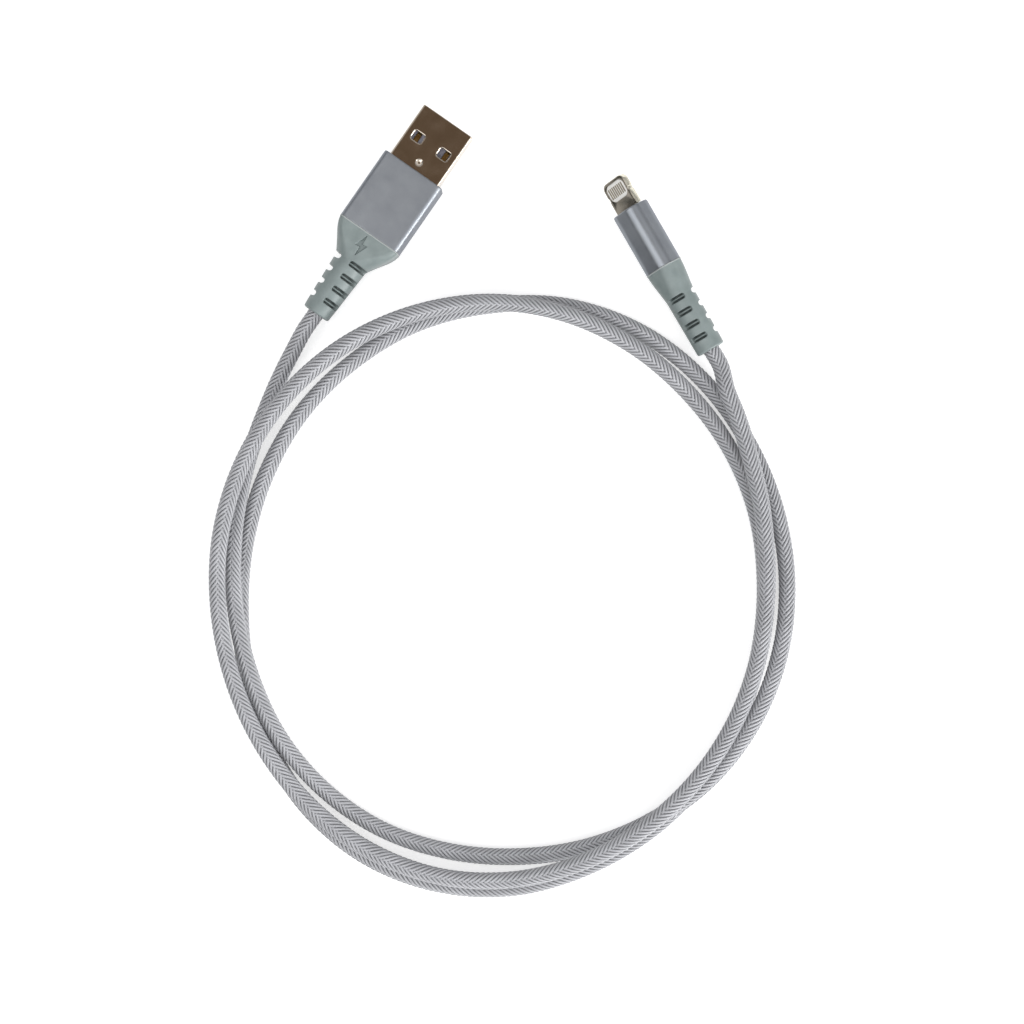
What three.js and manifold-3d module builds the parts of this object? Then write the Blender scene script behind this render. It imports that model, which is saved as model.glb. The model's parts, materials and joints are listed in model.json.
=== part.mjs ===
// A braided charging cable, laid down in loose loops: a type-A plug for the charger at one end,
// an eight-contact tab plug for the phone at the other. Millimetres, +Z up. The origin is the middle
// of the charger plug's footprint on the table, and +Y points from the cable to that plug's tip.

import * as THREE from 'three';
import { mergeVertices } from 'three/addons/utils/BufferGeometryUtils.js';
import Module from 'manifold-3d';

// ---------- driving dimensions ----------

const CORD_DIAMETER = 3.6;       // over the braid
const CORE_DIAMETER = 2.6;       // the cord's jacket where the braid is stripped off
const WIRE_DIAMETER = 0.7;       // one insulated conductor
const BUTT_GAP = 0.3;            // between two ends that meet face to face
const FIT = 0.15;                // clearance all round a piece that sits inside another
const PAST = 1.0;                // how far a cutting solid runs past the face that it opens
const WELD = 1e-4;               // points nearer than this are one point

// Charger plug: a folded steel shell round a moulded tongue with four contacts.
const SHELL = { width: 12.0, height: 4.5, corner: 0.6, wall: 0.3, exposed: 12.3, buried: 5.0 };
const WINDOW = { width: 2.5, length: 2.0, corner: 0.45, spread: 6.4, fromTip: 6.3 };
const DIMPLE = { diameter: 1.7, depth: 0.2, fromTip: 10.5 };
const SEAM_WIDTH = 0.2;
const TONGUE = { thickness: 1.85, setBack: 0.4, cavity: 11.2 };
const CHARGER_CONTACT = { width: 1.0, thickness: 0.25, nose: 0.5, tail: 1.8, inner: 2.0, outer: 7.0 };
const CHARGER_CONTACT_START = { inner: 2.2, outer: 1.2 };
const CHARGER_SLEEVE = { width: 14.2, height: 7.5, corner: 1.2, wall: 0.5, length: 16.0 };
const MOULD_RECESS = 0.2;        // the inner mould's face behind the sleeve's front edge
const WIRE_BAY = { width: 10.4, height: 3.9, corner: 0.5 };

// Phone plug: a thin round-edged steel tab with eight contacts on each face.
const TAB = { width: 6.7, thickness: 1.5, front: 1.4, edge: 0.5, shank: 5.2, exposed: 7.0, buried: 4.0 };
const BLOCK = { width: 5.3, length: 3.7, corner: 1.2, fromTip: 0.65 };
const NOTCH = { radius: 0.8, depth: 0.4, fromTip: 3.4 };
const PHONE_CONTACT = { width: 0.36, length: 2.3, thickness: 0.18, pitch: 0.58, count: 8 };
const PHONE_SLEEVE = { width: 7.4, height: 6.5, corner: 2.4, wall: 0.5, length: 13.8 };
const COLLAR_LENGTH = 3.4;       // moulded collar that holds the tab in the sleeve's mouth
const PHONE_WIRE_RUN = 1.6;      // along the plug, what the phone wires cross to the board
const BOARD = { width: 4.2, thickness: 0.6, overlap: 1.2, padPitch: 1.2 };
const CHIP = { width: 2.4, thickness: 0.7, margin: 0.4, corner: 0.2 };

// Both strain-relief boots: a flared shoulder, a round neck and four rows of three slots.
const BOOT_LENGTH = 19.7;
const BOOT_SPIGOT = 2.0;         // the part of the boot inside its sleeve
const BOOT_SEAM = 0.1;           // the thin seam that shows between the sleeve and the boot
const BOOT_LIP = 0.25;           // the rounded rim at the boot's end
const NECK_FLAT = 0.12;          // the flat that is left between two corners of the neck
// Along the flare: the distance from the sleeve, and the share of the way from its size to the neck's.
const FLARE = [[0.84, 0.03], [1.7, 0.12], [2.6, 0.24], [3.6, 0.42], [5.0, 0.67], [7.0, 1]];
const SLOT = { width: 1.2, coreDiameter: 3.8, first: 7.25, pitch: 3.05, rows: 4, around: 3 };
const CHARGER_BOOT = { neck: 7.4, end: 6.0, slotSpan: 83, slotTurn: 44 };
const PHONE_BOOT = { neck: 6.3, end: 6.06, slotSpan: 74, slotTurn: 23 };
const CRIMP = { wall: 0.3, length: 1.2 };
const CORE_INSIDE = BOOT_SPIGOT + CRIMP.length + 3 * FIT;   // the stripped jacket, inside the sleeve

const EDGE_BREAK = 0.15;         // small rounding on the sleeves' rims
const ARC_STEPS = 6;             // facets in a quarter turn of a corner
const NECK_POINTS = 8;           // points on a quarter turn of a boot

// ---------- where things lie ----------

const CHARGER_TIP = (SHELL.exposed + CHARGER_SLEEVE.length + BOOT_LENGTH) / 2;
const CHARGER_FRONT = CHARGER_TIP - SHELL.exposed;
const CHARGER_REAR = CHARGER_FRONT - CHARGER_SLEEVE.length;
const CHARGER_END = CHARGER_REAR - BOOT_LENGTH;
const CHARGER_AXIS = CHARGER_SLEEVE.height / 2;

const PHONE_END = new THREE.Vector2(71.2, 16.45);   // the phone boot's end, seen from above
const PHONE_HEADING = 154.8;                        // from +X to the phone plug's tip
const PHONE_ROLL = 50;                              // the plug lies on its corner, right side up
const PHONE_REAR = BOOT_LENGTH;                     // along the phone plug, from its boot's end
const PHONE_FRONT = PHONE_REAR + PHONE_SLEEVE.length;
const PHONE_TIP = PHONE_FRONT + TAB.exposed;
const PHONE_AXIS = PHONE_SLEEVE.corner
  + (PHONE_SLEEVE.width / 2 - PHONE_SLEEVE.corner) * Math.sin(THREE.MathUtils.degToRad(PHONE_ROLL))
  + (PHONE_SLEEVE.height / 2 - PHONE_SLEEVE.corner) * Math.cos(THREE.MathUtils.degToRad(PHONE_ROLL));

// The loops: at every 15 degrees of the clock round their centre, the cord's distance from it and the
// layer that it lies in there. Layer 0 lies on the table, 1 on one strand and 2 on two. The cord goes
// round two and two thirds times.
const LOOP_CENTRE = new THREE.Vector2(65.0, -49.8);
const LOOP_START = 172.5;
const LOOP_STEP = 15;
const LOOP_STATIONS = [
  [63.9, 0.05], [59.6, 0.2], [56.5, 1.05], [55, 1], [54.3, 1], [54.4, 0.75], [54.6, 0.15], [54.5, 0],
  [54.1, 0], [54.1, 0], [54.6, 0.3], [55.2, 0.95], [56.4, 1.15], [57.5, 0.85], [58.4, 0.3], [58.9, 0],
  [59.3, 0], [59.9, 0], [60.9, 0], [61.6, 0], [61.4, 0], [60.2, 0], [59.1, 0], [57.6, 0],
  [56.4, 0], [55.2, 0], [54.5, 0], [54.5, 0], [55.7, 0], [57.7, 0], [59.7, 0], [61, 0],
  [61.2, 0], [60.5, 0], [58.8, 0], [57.3, 0], [56, 0], [54.9, 0], [54.3, 0], [54.3, 0],
  [55.1, 0], [55.9, 0.15], [56.8, 0.3], [58.1, 0.75], [59.5, 0.95], [60.5, 1], [60.9, 1], [61, 1],
  [60.7, 1], [60, 1.25], [58.9, 1.9], [58.1, 1.7], [57.7, 1.55], [57.9, 1.25], [58.5, 1], [58.9, 1],
  [58.9, 1], [58.1, 1], [56.6, 1.35], [55, 2], [54.1, 2], [53.9, 1.35], [53.9, 1], [54.3, 1],
  [56, 1],
];
const TABLE_GAP = 0.05;          // under the lowest strand
const STRAND_GAP = 0.5;          // between a strand and the one that it lies on

// On the way from the charger boot, and on to the phone boot over the cord's own outer strand: the
// clock, the distance from the loops' centre and the layer.
const CHARGER_LEAD = [[165, 66.9, 0.25]];
const PHONE_LEAD = [[60, 57.3, 1], [66, 58.7, 1], [72, 60.6, 0.95], [77.5, 62.6, 0.8]];

const LOOP_SIDES = 6;
const LEAD_SIDES = 8;
const LEAD_STEP = 2.2 * CORD_DIAMETER;
const WIRE_SIDES = 6;
const WIRE_STEPS = 5;

// ---------- solids: joining and cutting ----------

const wasm = await Module();
wasm.setup();

function toSolid(geometry) {
  const bare = geometry.clone();
  bare.deleteAttribute('normal');
  bare.deleteAttribute('uv');
  const welded = mergeVertices(bare, WELD);
  return new wasm.Manifold(new wasm.Mesh({
    numProp: 3,
    vertProperties: new Float32Array(welded.attributes.position.array),
    triVerts: new Uint32Array(welded.index.array),
  }));
}

function fromSolid(solid) {
  const mesh = solid.getMesh();
  const geometry = new THREE.BufferGeometry();
  geometry.setAttribute('position', new THREE.BufferAttribute(mesh.vertProperties, 3));
  geometry.setIndex(new THREE.BufferAttribute(mesh.triVerts, 1));
  return geometry;
}

function cut(body, ...tools) {
  return fromSolid(tools.reduce((solid, tool) => solid.subtract(toSolid(tool)), toSolid(body)));
}

function join(...bodies) {
  return fromSolid(bodies.slice(1).reduce((solid, body) => solid.add(toSolid(body)), toSolid(bodies[0])));
}

// ---------- solids: basic forms ----------

function roundedRect(width, height, radius) {
  const x = width / 2 - radius;
  const y = height / 2 - radius;
  const shape = new THREE.Shape();
  shape.absarc(x, y, radius, 0, Math.PI / 2);
  shape.absarc(-x, y, radius, Math.PI / 2, Math.PI);
  shape.absarc(-x, -y, radius, Math.PI, 1.5 * Math.PI);
  shape.absarc(x, -y, radius, 1.5 * Math.PI, 2 * Math.PI);
  return shape;
}

// Extrudes a section drawn across a plug, x to its right and y up, from front back along -Y.
function alongY(section, front, length, edge = 0) {
  const solid = new THREE.ExtrudeGeometry(section, {
    depth: length - 2 * edge,
    curveSegments: ARC_STEPS,
    bevelEnabled: edge > 0,
    bevelThickness: edge,
    bevelSize: edge,
    bevelOffset: -edge,
    bevelSegments: 1,
  });
  solid.rotateX(Math.PI / 2);
  solid.translate(0, front - edge, 0);
  return solid;
}

// Extrudes an outline drawn on a plug's face, x to its right and y towards its tip, upwards.
function upwards(outline, low, high, edge = 0, edgeSteps = 1) {
  const solid = new THREE.ExtrudeGeometry(outline, {
    depth: high - low - 2 * edge,
    curveSegments: ARC_STEPS,
    bevelEnabled: edge > 0,
    bevelThickness: edge,
    bevelSize: edge,
    bevelOffset: -edge,
    bevelSegments: edgeSteps,
  });
  solid.translate(0, 0, low + edge);
  return solid;
}

function box(x0, x1, y0, y1, z0, z1) {
  const solid = new THREE.BoxGeometry(x1 - x0, y1 - y0, z1 - z0);
  solid.translate((x0 + x1) / 2, (y0 + y1) / 2, (z0 + z1) / 2);
  return solid;
}

function tubeSection(width, height, radius, wall) {
  const section = roundedRect(width, height, radius);
  section.holes.push(roundedRect(width - 2 * wall, height - 2 * wall, radius - wall));
  return section;
}

function circle(diameter) {
  const shape = new THREE.Shape();
  shape.absarc(0, 0, diameter / 2, 0, 2 * Math.PI);
  return shape;
}

// Skins a row of closed rings with the same number of points, and closes both ends.
function skin(rings) {
  const count = rings[0].length;
  const positions = rings.flat().flatMap((point) => [point.x, point.y, point.z]);
  const faces = [];
  for (let ring = 0; ring + 1 < rings.length; ring += 1) {
    for (let k = 0; k < count; k += 1) {
      const a = ring * count + k;
      const b = ring * count + (k + 1) % count;
      faces.push(a, b, b + count, a, b + count, a + count);
    }
  }
  const last = (rings.length - 1) * count;
  for (let k = 1; k + 1 < count; k += 1) {
    faces.push(0, k + 1, k, last, last + k, last + k + 1);
  }
  const geometry = new THREE.BufferGeometry();
  geometry.setAttribute('position', new THREE.Float32BufferAttribute(positions, 3));
  geometry.setIndex(faces);
  return geometry;
}

// ---------- boots ----------

// One ring across a boot: a rounded rectangle whose corners open up into a circle along the neck.
function bootRing(width, height, corner, y) {
  const x = width / 2 - corner;
  const z = height / 2 - corner;
  const ring = [];
  for (const [sx, sz, start] of [[1, 1, 0], [-1, 1, 90], [-1, -1, 180], [1, -1, 270]]) {
    for (let k = 0; k < NECK_POINTS; k += 1) {
      const angle = THREE.MathUtils.degToRad(start + 90 * k / (NECK_POINTS - 1));
      ring.push(new THREE.Vector3(
        sx * x + corner * Math.cos(angle), y, sz * z + corner * Math.sin(angle)));
    }
  }
  return ring;
}

// The boot's outside: a full-size shoulder, the flare, then a slowly narrowing round neck.
function bootBody(sleeve, boot, rear) {
  const neckRing = (diameter, y) => bootRing(diameter, diameter, diameter / 2 - NECK_FLAT, y);
  const rings = [bootRing(sleeve.width, sleeve.height, sleeve.corner, rear - BOOT_SEAM)];
  for (const [distance, share] of FLARE) {
    rings.push(bootRing(
      THREE.MathUtils.lerp(sleeve.width, boot.neck, share),
      THREE.MathUtils.lerp(sleeve.height, boot.neck, share),
      THREE.MathUtils.lerp(sleeve.corner, boot.neck / 2 - NECK_FLAT, share),
      rear - distance));
  }
  const end = rear - BOOT_LENGTH;
  rings.push(neckRing(boot.end, end + BOOT_LIP));
  rings.push(neckRing(boot.end - BOOT_LIP, end));
  return skin(rings);
}

// One slot: a band of a ring, cut in to the boot's core. It is turned from the plug's top to its right.
function slotCutter(boot, turn, y) {
  const middle = Math.PI / 2 - THREE.MathUtils.degToRad(turn);
  const half = THREE.MathUtils.degToRad(boot.slotSpan) / 2;
  const section = new THREE.Shape();
  section.absarc(0, 0, boot.neck, middle - half, middle + half, false);
  section.absarc(0, 0, SLOT.coreDiameter / 2, middle + half, middle - half, true);
  return alongY(section, y + SLOT.width / 2, SLOT.width);
}

function makeBoot(sleeve, boot, rear) {
  const inside = sleeve.width - 2 * (sleeve.wall + FIT);
  const insideHeight = sleeve.height - 2 * (sleeve.wall + FIT);
  const spigot = alongY(
    roundedRect(inside, insideHeight, sleeve.corner - sleeve.wall - FIT),
    rear + BOOT_SPIGOT, BOOT_SPIGOT + PAST);
  const bore = alongY(circle(CORE_DIAMETER + 2 * FIT), rear + BOOT_SPIGOT + PAST,
    BOOT_LENGTH + BOOT_SPIGOT + 2 * PAST);
  const slots = [];
  for (let row = 0; row < SLOT.rows; row += 1) {
    for (let k = 0; k < SLOT.around; k += 1) {
      slots.push(slotCutter(boot, boot.slotTurn + 360 * k / SLOT.around,
        rear - SLOT.first - SLOT.pitch * row));
    }
  }
  return cut(join(bootBody(sleeve, boot, rear), spigot), bore, ...slots);
}

// ---------- what both plugs hold ----------

function makeSleeve(sleeve, front) {
  return alongY(tubeSection(sleeve.width, sleeve.height, sleeve.corner, sleeve.wall),
    front, sleeve.length, EDGE_BREAK);
}

// The stripped jacket runs through the boot's bore and ends just past the crimp ring.
function makeCore(rear) {
  return alongY(circle(CORE_DIAMETER), rear + CORE_INSIDE, BOOT_LENGTH + CORE_INSIDE);
}

function makeCrimp(rear) {
  const ring = circle(CORE_DIAMETER + 2 * (FIT + CRIMP.wall));
  ring.holes.push(circle(CORE_DIAMETER + 2 * FIT));
  return alongY(ring, rear + BOOT_SPIGOT + FIT + CRIMP.length, CRIMP.length);
}

function wirePath(start, end) {
  const reach = (end.y - start.y) / 2;
  return new THREE.CubicBezierCurve3(
    start,
    new THREE.Vector3(start.x, start.y + reach, start.z),
    new THREE.Vector3(end.x, end.y - reach, end.z),
    end);
}

function makeWire(start, end) {
  return new THREE.ExtrudeGeometry(polygon(WIRE_SIDES, WIRE_DIAMETER), {
    steps: WIRE_STEPS,
    bevelEnabled: false,
    extrudePath: wirePath(start, end),
  });
}

function polygon(sides, diameter) {
  const points = [];
  for (let k = 0; k < sides; k += 1) {
    const angle = 2 * Math.PI * k / sides;
    points.push(new THREE.Vector2(Math.cos(angle), Math.sin(angle)).multiplyScalar(diameter / 2));
  }
  return new THREE.Shape(points);
}

// ---------- the charger plug ----------

const SHELL_REAR = CHARGER_FRONT - SHELL.buried;
const INSIDE_WIDTH = SHELL.width - 2 * SHELL.wall;
const INSIDE_HEIGHT = SHELL.height - 2 * SHELL.wall;

function makeShell() {
  const tube = alongY(tubeSection(SHELL.width, SHELL.height, SHELL.corner, SHELL.wall),
    CHARGER_TIP, CHARGER_TIP - SHELL_REAR);
  const past = SHELL.height / 2 + PAST;
  const windows = [-1, 1].map((side) => {
    const hole = upwards(roundedRect(WINDOW.width, WINDOW.length, WINDOW.corner), -past, past);
    hole.translate(side * WINDOW.spread / 2, CHARGER_TIP - WINDOW.fromTip, 0);
    return hole;
  });
  const reach = (DIMPLE.diameter ** 2 / 4 + DIMPLE.depth ** 2) / (2 * DIMPLE.depth);
  const dimple = new THREE.SphereGeometry(reach, 24, 16);
  dimple.rotateX(Math.PI / 2);
  dimple.translate(0, CHARGER_TIP - DIMPLE.fromTip, SHELL.height / 2 + reach - DIMPLE.depth);
  const seam = box(-SEAM_WIDTH / 2, SEAM_WIDTH / 2, SHELL_REAR - PAST, CHARGER_TIP + PAST, -past, 0);
  return cut(tube, ...windows, dimple, seam);
}

// The four contacts, from the shell's left to its right: where each lies and how far back it starts.
const CHARGER_CONTACTS = [
  { name: 'charger_contact_power', x: -CHARGER_CONTACT.outer / 2, start: CHARGER_CONTACT_START.outer },
  { name: 'charger_contact_data_minus', x: -CHARGER_CONTACT.inner / 2, start: CHARGER_CONTACT_START.inner },
  { name: 'charger_contact_data_plus', x: CHARGER_CONTACT.inner / 2, start: CHARGER_CONTACT_START.inner },
  { name: 'charger_contact_ground', x: CHARGER_CONTACT.outer / 2, start: CHARGER_CONTACT_START.outer },
];
const TONGUE_TOP = -INSIDE_HEIGHT / 2 + FIT + TONGUE.thickness;
const CONTACT_TAIL = SHELL_REAR - CHARGER_CONTACT.tail;

// One contact, drawn from the side: a flat strip with its nose bent 45 degrees down into the tongue.
function makeChargerContact(contact) {
  const front = CHARGER_TIP - contact.start;
  const { thickness, nose, width } = CHARGER_CONTACT;
  const side = new THREE.Shape();
  side.moveTo(CONTACT_TAIL, 0);
  side.lineTo(front - nose, 0);
  side.lineTo(front, -nose);
  side.lineTo(front, -nose - Math.SQRT2 * thickness);
  side.lineTo(front - nose - thickness * Math.tan(Math.PI / 8), -thickness);
  side.lineTo(CONTACT_TAIL, -thickness);
  const strip = new THREE.ExtrudeGeometry(side, { depth: width, bevelEnabled: false });
  strip.applyMatrix4(new THREE.Matrix4().set(
    0, 0, 1, contact.x - width / 2,
    1, 0, 0, 0,
    0, 1, 0, TONGUE_TOP,
    0, 0, 0, 1));
  return strip;
}

// The groove that one contact lies in, a clearance larger than the contact all round.
function contactGroove(contact) {
  const { thickness, nose, width } = CHARGER_CONTACT;
  const half = width / 2 + FIT;
  const front = CHARGER_TIP - contact.start + FIT;
  const low = TONGUE_TOP - thickness - FIT;
  const groove = box(contact.x - half, contact.x + half, SHELL_REAR - PAST, front, low, TONGUE_TOP + FIT);
  const pocket = box(contact.x - half, contact.x + half, front - nose - thickness - 2 * FIT, front,
    TONGUE_TOP - nose - Math.SQRT2 * thickness - FIT, TONGUE_TOP);
  return join(groove, pocket);
}

function makeInsulator() {
  const width = INSIDE_WIDTH - 2 * FIT;
  const height = INSIDE_HEIGHT - 2 * FIT;
  const low = -height / 2;
  const rear = SHELL_REAR + FIT;
  const tongue = box(-width / 2, width / 2, rear, CHARGER_TIP - TONGUE.setBack, low, TONGUE_TOP);
  const block = box(-width / 2, width / 2, rear, CHARGER_TIP - TONGUE.cavity, low, height / 2);
  return cut(join(tongue, block), ...CHARGER_CONTACTS.map(contactGroove));
}

function makeInnerMould() {
  const width = CHARGER_SLEEVE.width - 2 * (CHARGER_SLEEVE.wall + FIT);
  const height = CHARGER_SLEEVE.height - 2 * (CHARGER_SLEEVE.wall + FIT);
  const front = CHARGER_FRONT - MOULD_RECESS;
  const rear = CHARGER_REAR + BOOT_SPIGOT + FIT;
  const outside = alongY(
    roundedRect(width, height, CHARGER_SLEEVE.corner - CHARGER_SLEEVE.wall - FIT), front, front - rear);
  const pocket = alongY(
    roundedRect(SHELL.width + 2 * FIT, SHELL.height + 2 * FIT, SHELL.corner + FIT),
    front + PAST, front + PAST - SHELL_REAR + FIT);
  const bay = alongY(roundedRect(WIRE_BAY.width, WIRE_BAY.height, WIRE_BAY.corner), SHELL_REAR + PAST,
    SHELL_REAR + 2 * PAST - rear);
  return cut(outside, pocket, bay);
}

// Where the four wires leave the stripped jacket: offsets from its axis, in diameters of one wire.
const WIRE_NEST = [[-0.85, 0.5], [-0.3, -0.7], [0.5, 0.85], [0.85, -0.35]];
const WIRE_NAMES = ['red', 'white', 'green', 'black'];

function wireStart(k, rear) {
  const [x, z] = WIRE_NEST[k];
  return new THREE.Vector3(x * WIRE_DIAMETER, rear + CORE_INSIDE + BUTT_GAP, z * WIRE_DIAMETER);
}

function chargerWires() {
  const z = TONGUE_TOP - CHARGER_CONTACT.thickness / 2;
  return CHARGER_CONTACTS.map((contact, k) => makeWire(
    wireStart(k, CHARGER_REAR), new THREE.Vector3(contact.x, CONTACT_TAIL - BUTT_GAP, z)));
}

// ---------- the phone plug ----------

// The tab's outline: round front corners, and a narrower shank where it enters the sleeve.
function tabOutline() {
  const { width, shank, front } = TAB;
  const x = width / 2;
  const step = PHONE_FRONT + FIT;
  const low = PHONE_FRONT - TAB.buried;
  const outline = new THREE.Shape();
  outline.moveTo(shank / 2, step);
  outline.lineTo(x, step);
  outline.absarc(x - front, PHONE_TIP - front, front, 0, Math.PI / 2);
  outline.absarc(-x + front, PHONE_TIP - front, front, Math.PI / 2, Math.PI);
  outline.lineTo(-x, step);
  outline.lineTo(-shank / 2, step);
  outline.lineTo(-shank / 2, low);
  outline.lineTo(shank / 2, low);
  return outline;
}

const BLOCK_MIDDLE = PHONE_TIP - BLOCK.fromTip - BLOCK.length / 2;

function blockOutline(extra) {
  return roundedRect(BLOCK.width + 2 * extra, BLOCK.length + 2 * extra, BLOCK.corner + extra);
}

function makeTabFrame() {
  const half = TAB.thickness / 2;
  const plate = upwards(tabOutline(), -half, half, TAB.edge, 2);
  const opening = upwards(blockOutline(FIT), -half - PAST, half + PAST);
  opening.translate(0, BLOCK_MIDDLE, 0);
  const notches = [-1, 1].map((side) => {
    const notch = upwards(circle(2 * NOTCH.radius), -half - PAST, half + PAST);
    notch.translate(side * (TAB.width / 2 + NOTCH.radius - NOTCH.depth), PHONE_TIP - NOTCH.fromTip, 0);
    return notch;
  });
  const boardSlot = box(-BOARD.width / 2 - FIT, BOARD.width / 2 + FIT,
    PHONE_FRONT - TAB.buried - PAST, PHONE_FRONT - TAB.buried + BOARD.overlap,
    -BOARD.thickness / 2 - FIT, BOARD.thickness / 2 + FIT);
  return cut(plate, opening, ...notches, boardSlot);
}

function contactPlace(k) {
  return (k - (PHONE_CONTACT.count - 1) / 2) * PHONE_CONTACT.pitch;
}

function makeContactBlock() {
  const half = TAB.thickness / 2;
  const body = upwards(blockOutline(0), -half, half);
  body.translate(0, BLOCK_MIDDLE, 0);
  const pockets = [];
  for (let k = 0; k < PHONE_CONTACT.count; k += 1) {
    for (const side of [-1, 1]) {
      const x = contactPlace(k);
      const wide = PHONE_CONTACT.width / 2 + FIT / 2;
      const long = PHONE_CONTACT.length / 2 + FIT / 2;
      const floor = half - PHONE_CONTACT.thickness - FIT / 2;
      const [low, high] = side > 0 ? [floor, half + PAST] : [-half - PAST, -floor];
      pockets.push(box(x - wide, x + wide, BLOCK_MIDDLE - long, BLOCK_MIDDLE + long, low, high));
    }
  }
  return cut(body, ...pockets);
}

function makePhoneContact(k, side) {
  const half = TAB.thickness / 2;
  const inner = half - PHONE_CONTACT.thickness;
  const [low, high] = side > 0 ? [inner, half] : [-half, -inner];
  const x = contactPlace(k);
  return box(x - PHONE_CONTACT.width / 2, x + PHONE_CONTACT.width / 2,
    BLOCK_MIDDLE - PHONE_CONTACT.length / 2, BLOCK_MIDDLE + PHONE_CONTACT.length / 2, low, high);
}

function makeCollar() {
  const width = PHONE_SLEEVE.width - 2 * (PHONE_SLEEVE.wall + FIT);
  const height = PHONE_SLEEVE.height - 2 * (PHONE_SLEEVE.wall + FIT);
  const front = PHONE_FRONT - MOULD_RECESS;
  const body = alongY(roundedRect(width, height, PHONE_SLEEVE.corner - PHONE_SLEEVE.wall - FIT),
    front, COLLAR_LENGTH);
  const slot = alongY(
    roundedRect(TAB.shank + 2 * FIT, TAB.thickness + 2 * FIT, TAB.edge),
    front + PAST, COLLAR_LENGTH + 2 * PAST);
  return cut(body, slot);
}

const BOARD_FRONT = PHONE_FRONT - TAB.buried + BOARD.overlap - FIT;
const BOARD_REAR = PHONE_REAR + CORE_INSIDE + 2 * BUTT_GAP + PHONE_WIRE_RUN;

function makeBoard() {
  return box(-BOARD.width / 2, BOARD.width / 2, BOARD_REAR, BOARD_FRONT,
    -BOARD.thickness / 2, BOARD.thickness / 2);
}

// The chip lies on the part of the board that is behind the tab.
function makeChip() {
  const tabRear = PHONE_FRONT - TAB.buried;
  const length = tabRear - BOARD_REAR - 2 * CHIP.margin;
  const low = BOARD.thickness / 2 + FIT;
  const chip = upwards(roundedRect(CHIP.width, length, CHIP.corner), low, low + CHIP.thickness);
  chip.translate(0, (tabRear + BOARD_REAR) / 2, 0);
  return chip;
}

function phoneWires() {
  return WIRE_NAMES.map((_, k) => makeWire(
    wireStart(k, PHONE_REAR),
    new THREE.Vector3((k - (WIRE_NAMES.length - 1) / 2) * BOARD.padPitch, BOARD_REAR - BUTT_GAP, 0)));
}

// ---------- the cord ----------

function clockPoint(clock, radius, layer) {
  const angle = THREE.MathUtils.degToRad(clock);
  return new THREE.Vector3(
    LOOP_CENTRE.x + radius * Math.cos(angle),
    LOOP_CENTRE.y + radius * Math.sin(angle),
    TABLE_GAP + CORD_DIAMETER / 2 + layer * (CORD_DIAMETER + STRAND_GAP));
}

const loopPoints = LOOP_STATIONS.map(
  ([radius, layer], k) => clockPoint(LOOP_START + LOOP_STEP * k, radius, layer));

// The unit direction from one end of a row of points into it.
function inward(points, end) {
  const [a, b] = end === 'first' ? [points[0], points[1]] : [points.at(-1), points.at(-2)];
  return b.clone().sub(a).normalize();
}

// Puts a straight run of one diameter on both ends of the loops.
function withStraightEnds(points) {
  const first = points[0].clone().addScaledVector(inward(points, 'first'), CORD_DIAMETER);
  const last = points.at(-1).clone().addScaledVector(inward(points, 'last'), CORD_DIAMETER);
  return [points[0], first, ...points.slice(1, -1), last, points.at(-1)];
}

// One unbroken tube through its points, each ring square to the cord and with a corner downwards.
function makeLoops(points) {
  const up = new THREE.Vector3(0, 0, 1);
  const rings = points.map((point, k) => {
    const before = points[Math.max(k - 1, 0)];
    const after = points[Math.min(k + 1, points.length - 1)];
    const along = after.clone().sub(before).normalize();
    const side = new THREE.Vector3().crossVectors(along, up).normalize();
    const top = new THREE.Vector3().crossVectors(side, along);
    const ring = [];
    for (let corner = 0; corner < LOOP_SIDES; corner += 1) {
      const angle = 2 * Math.PI * corner / LOOP_SIDES;
      ring.push(point.clone()
        .addScaledVector(top, CORD_DIAMETER / 2 * Math.cos(angle))
        .addScaledVector(side, CORD_DIAMETER / 2 * Math.sin(angle)));
    }
    return ring;
  });
  return skin(rings);
}

function makeLead(points) {
  const path = new THREE.CatmullRomCurve3(points, false, 'centripetal');
  return new THREE.ExtrudeGeometry(polygon(LEAD_SIDES, CORD_DIAMETER), {
    steps: Math.ceil(path.getLength() / LEAD_STEP),
    bevelEnabled: false,
    extrudePath: path,
  });
}

// A point on a straight run, a distance away from where it starts.
function beyond(start, direction, distance) {
  return start.clone().addScaledVector(direction, distance);
}

const chargerOut = new THREE.Vector3(0, -1, 0);
const chargerExit = new THREE.Vector3(0, CHARGER_END, CHARGER_AXIS);
const phoneOut = new THREE.Vector3(
  -Math.cos(THREE.MathUtils.degToRad(PHONE_HEADING)), -Math.sin(THREE.MathUtils.degToRad(PHONE_HEADING)), 0);
const phoneExit = new THREE.Vector3(PHONE_END.x, PHONE_END.y, PHONE_AXIS);
const loopIn = inward(loopPoints, 'first');
const loopOut = inward(loopPoints, 'last').negate();

const chargerLeadPoints = [
  beyond(chargerExit, chargerOut, BUTT_GAP),
  beyond(chargerExit, chargerOut, BUTT_GAP + CORD_DIAMETER),
  ...CHARGER_LEAD.map((station) => clockPoint(...station)),
  beyond(loopPoints[0], loopIn, -BUTT_GAP),
];
const phoneLeadPoints = [
  beyond(loopPoints.at(-1), loopOut, BUTT_GAP),
  ...PHONE_LEAD.map((station) => clockPoint(...station)),
  beyond(phoneExit, phoneOut, BUTT_GAP + CORD_DIAMETER),
  beyond(phoneExit, phoneOut, BUTT_GAP),
];

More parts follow.
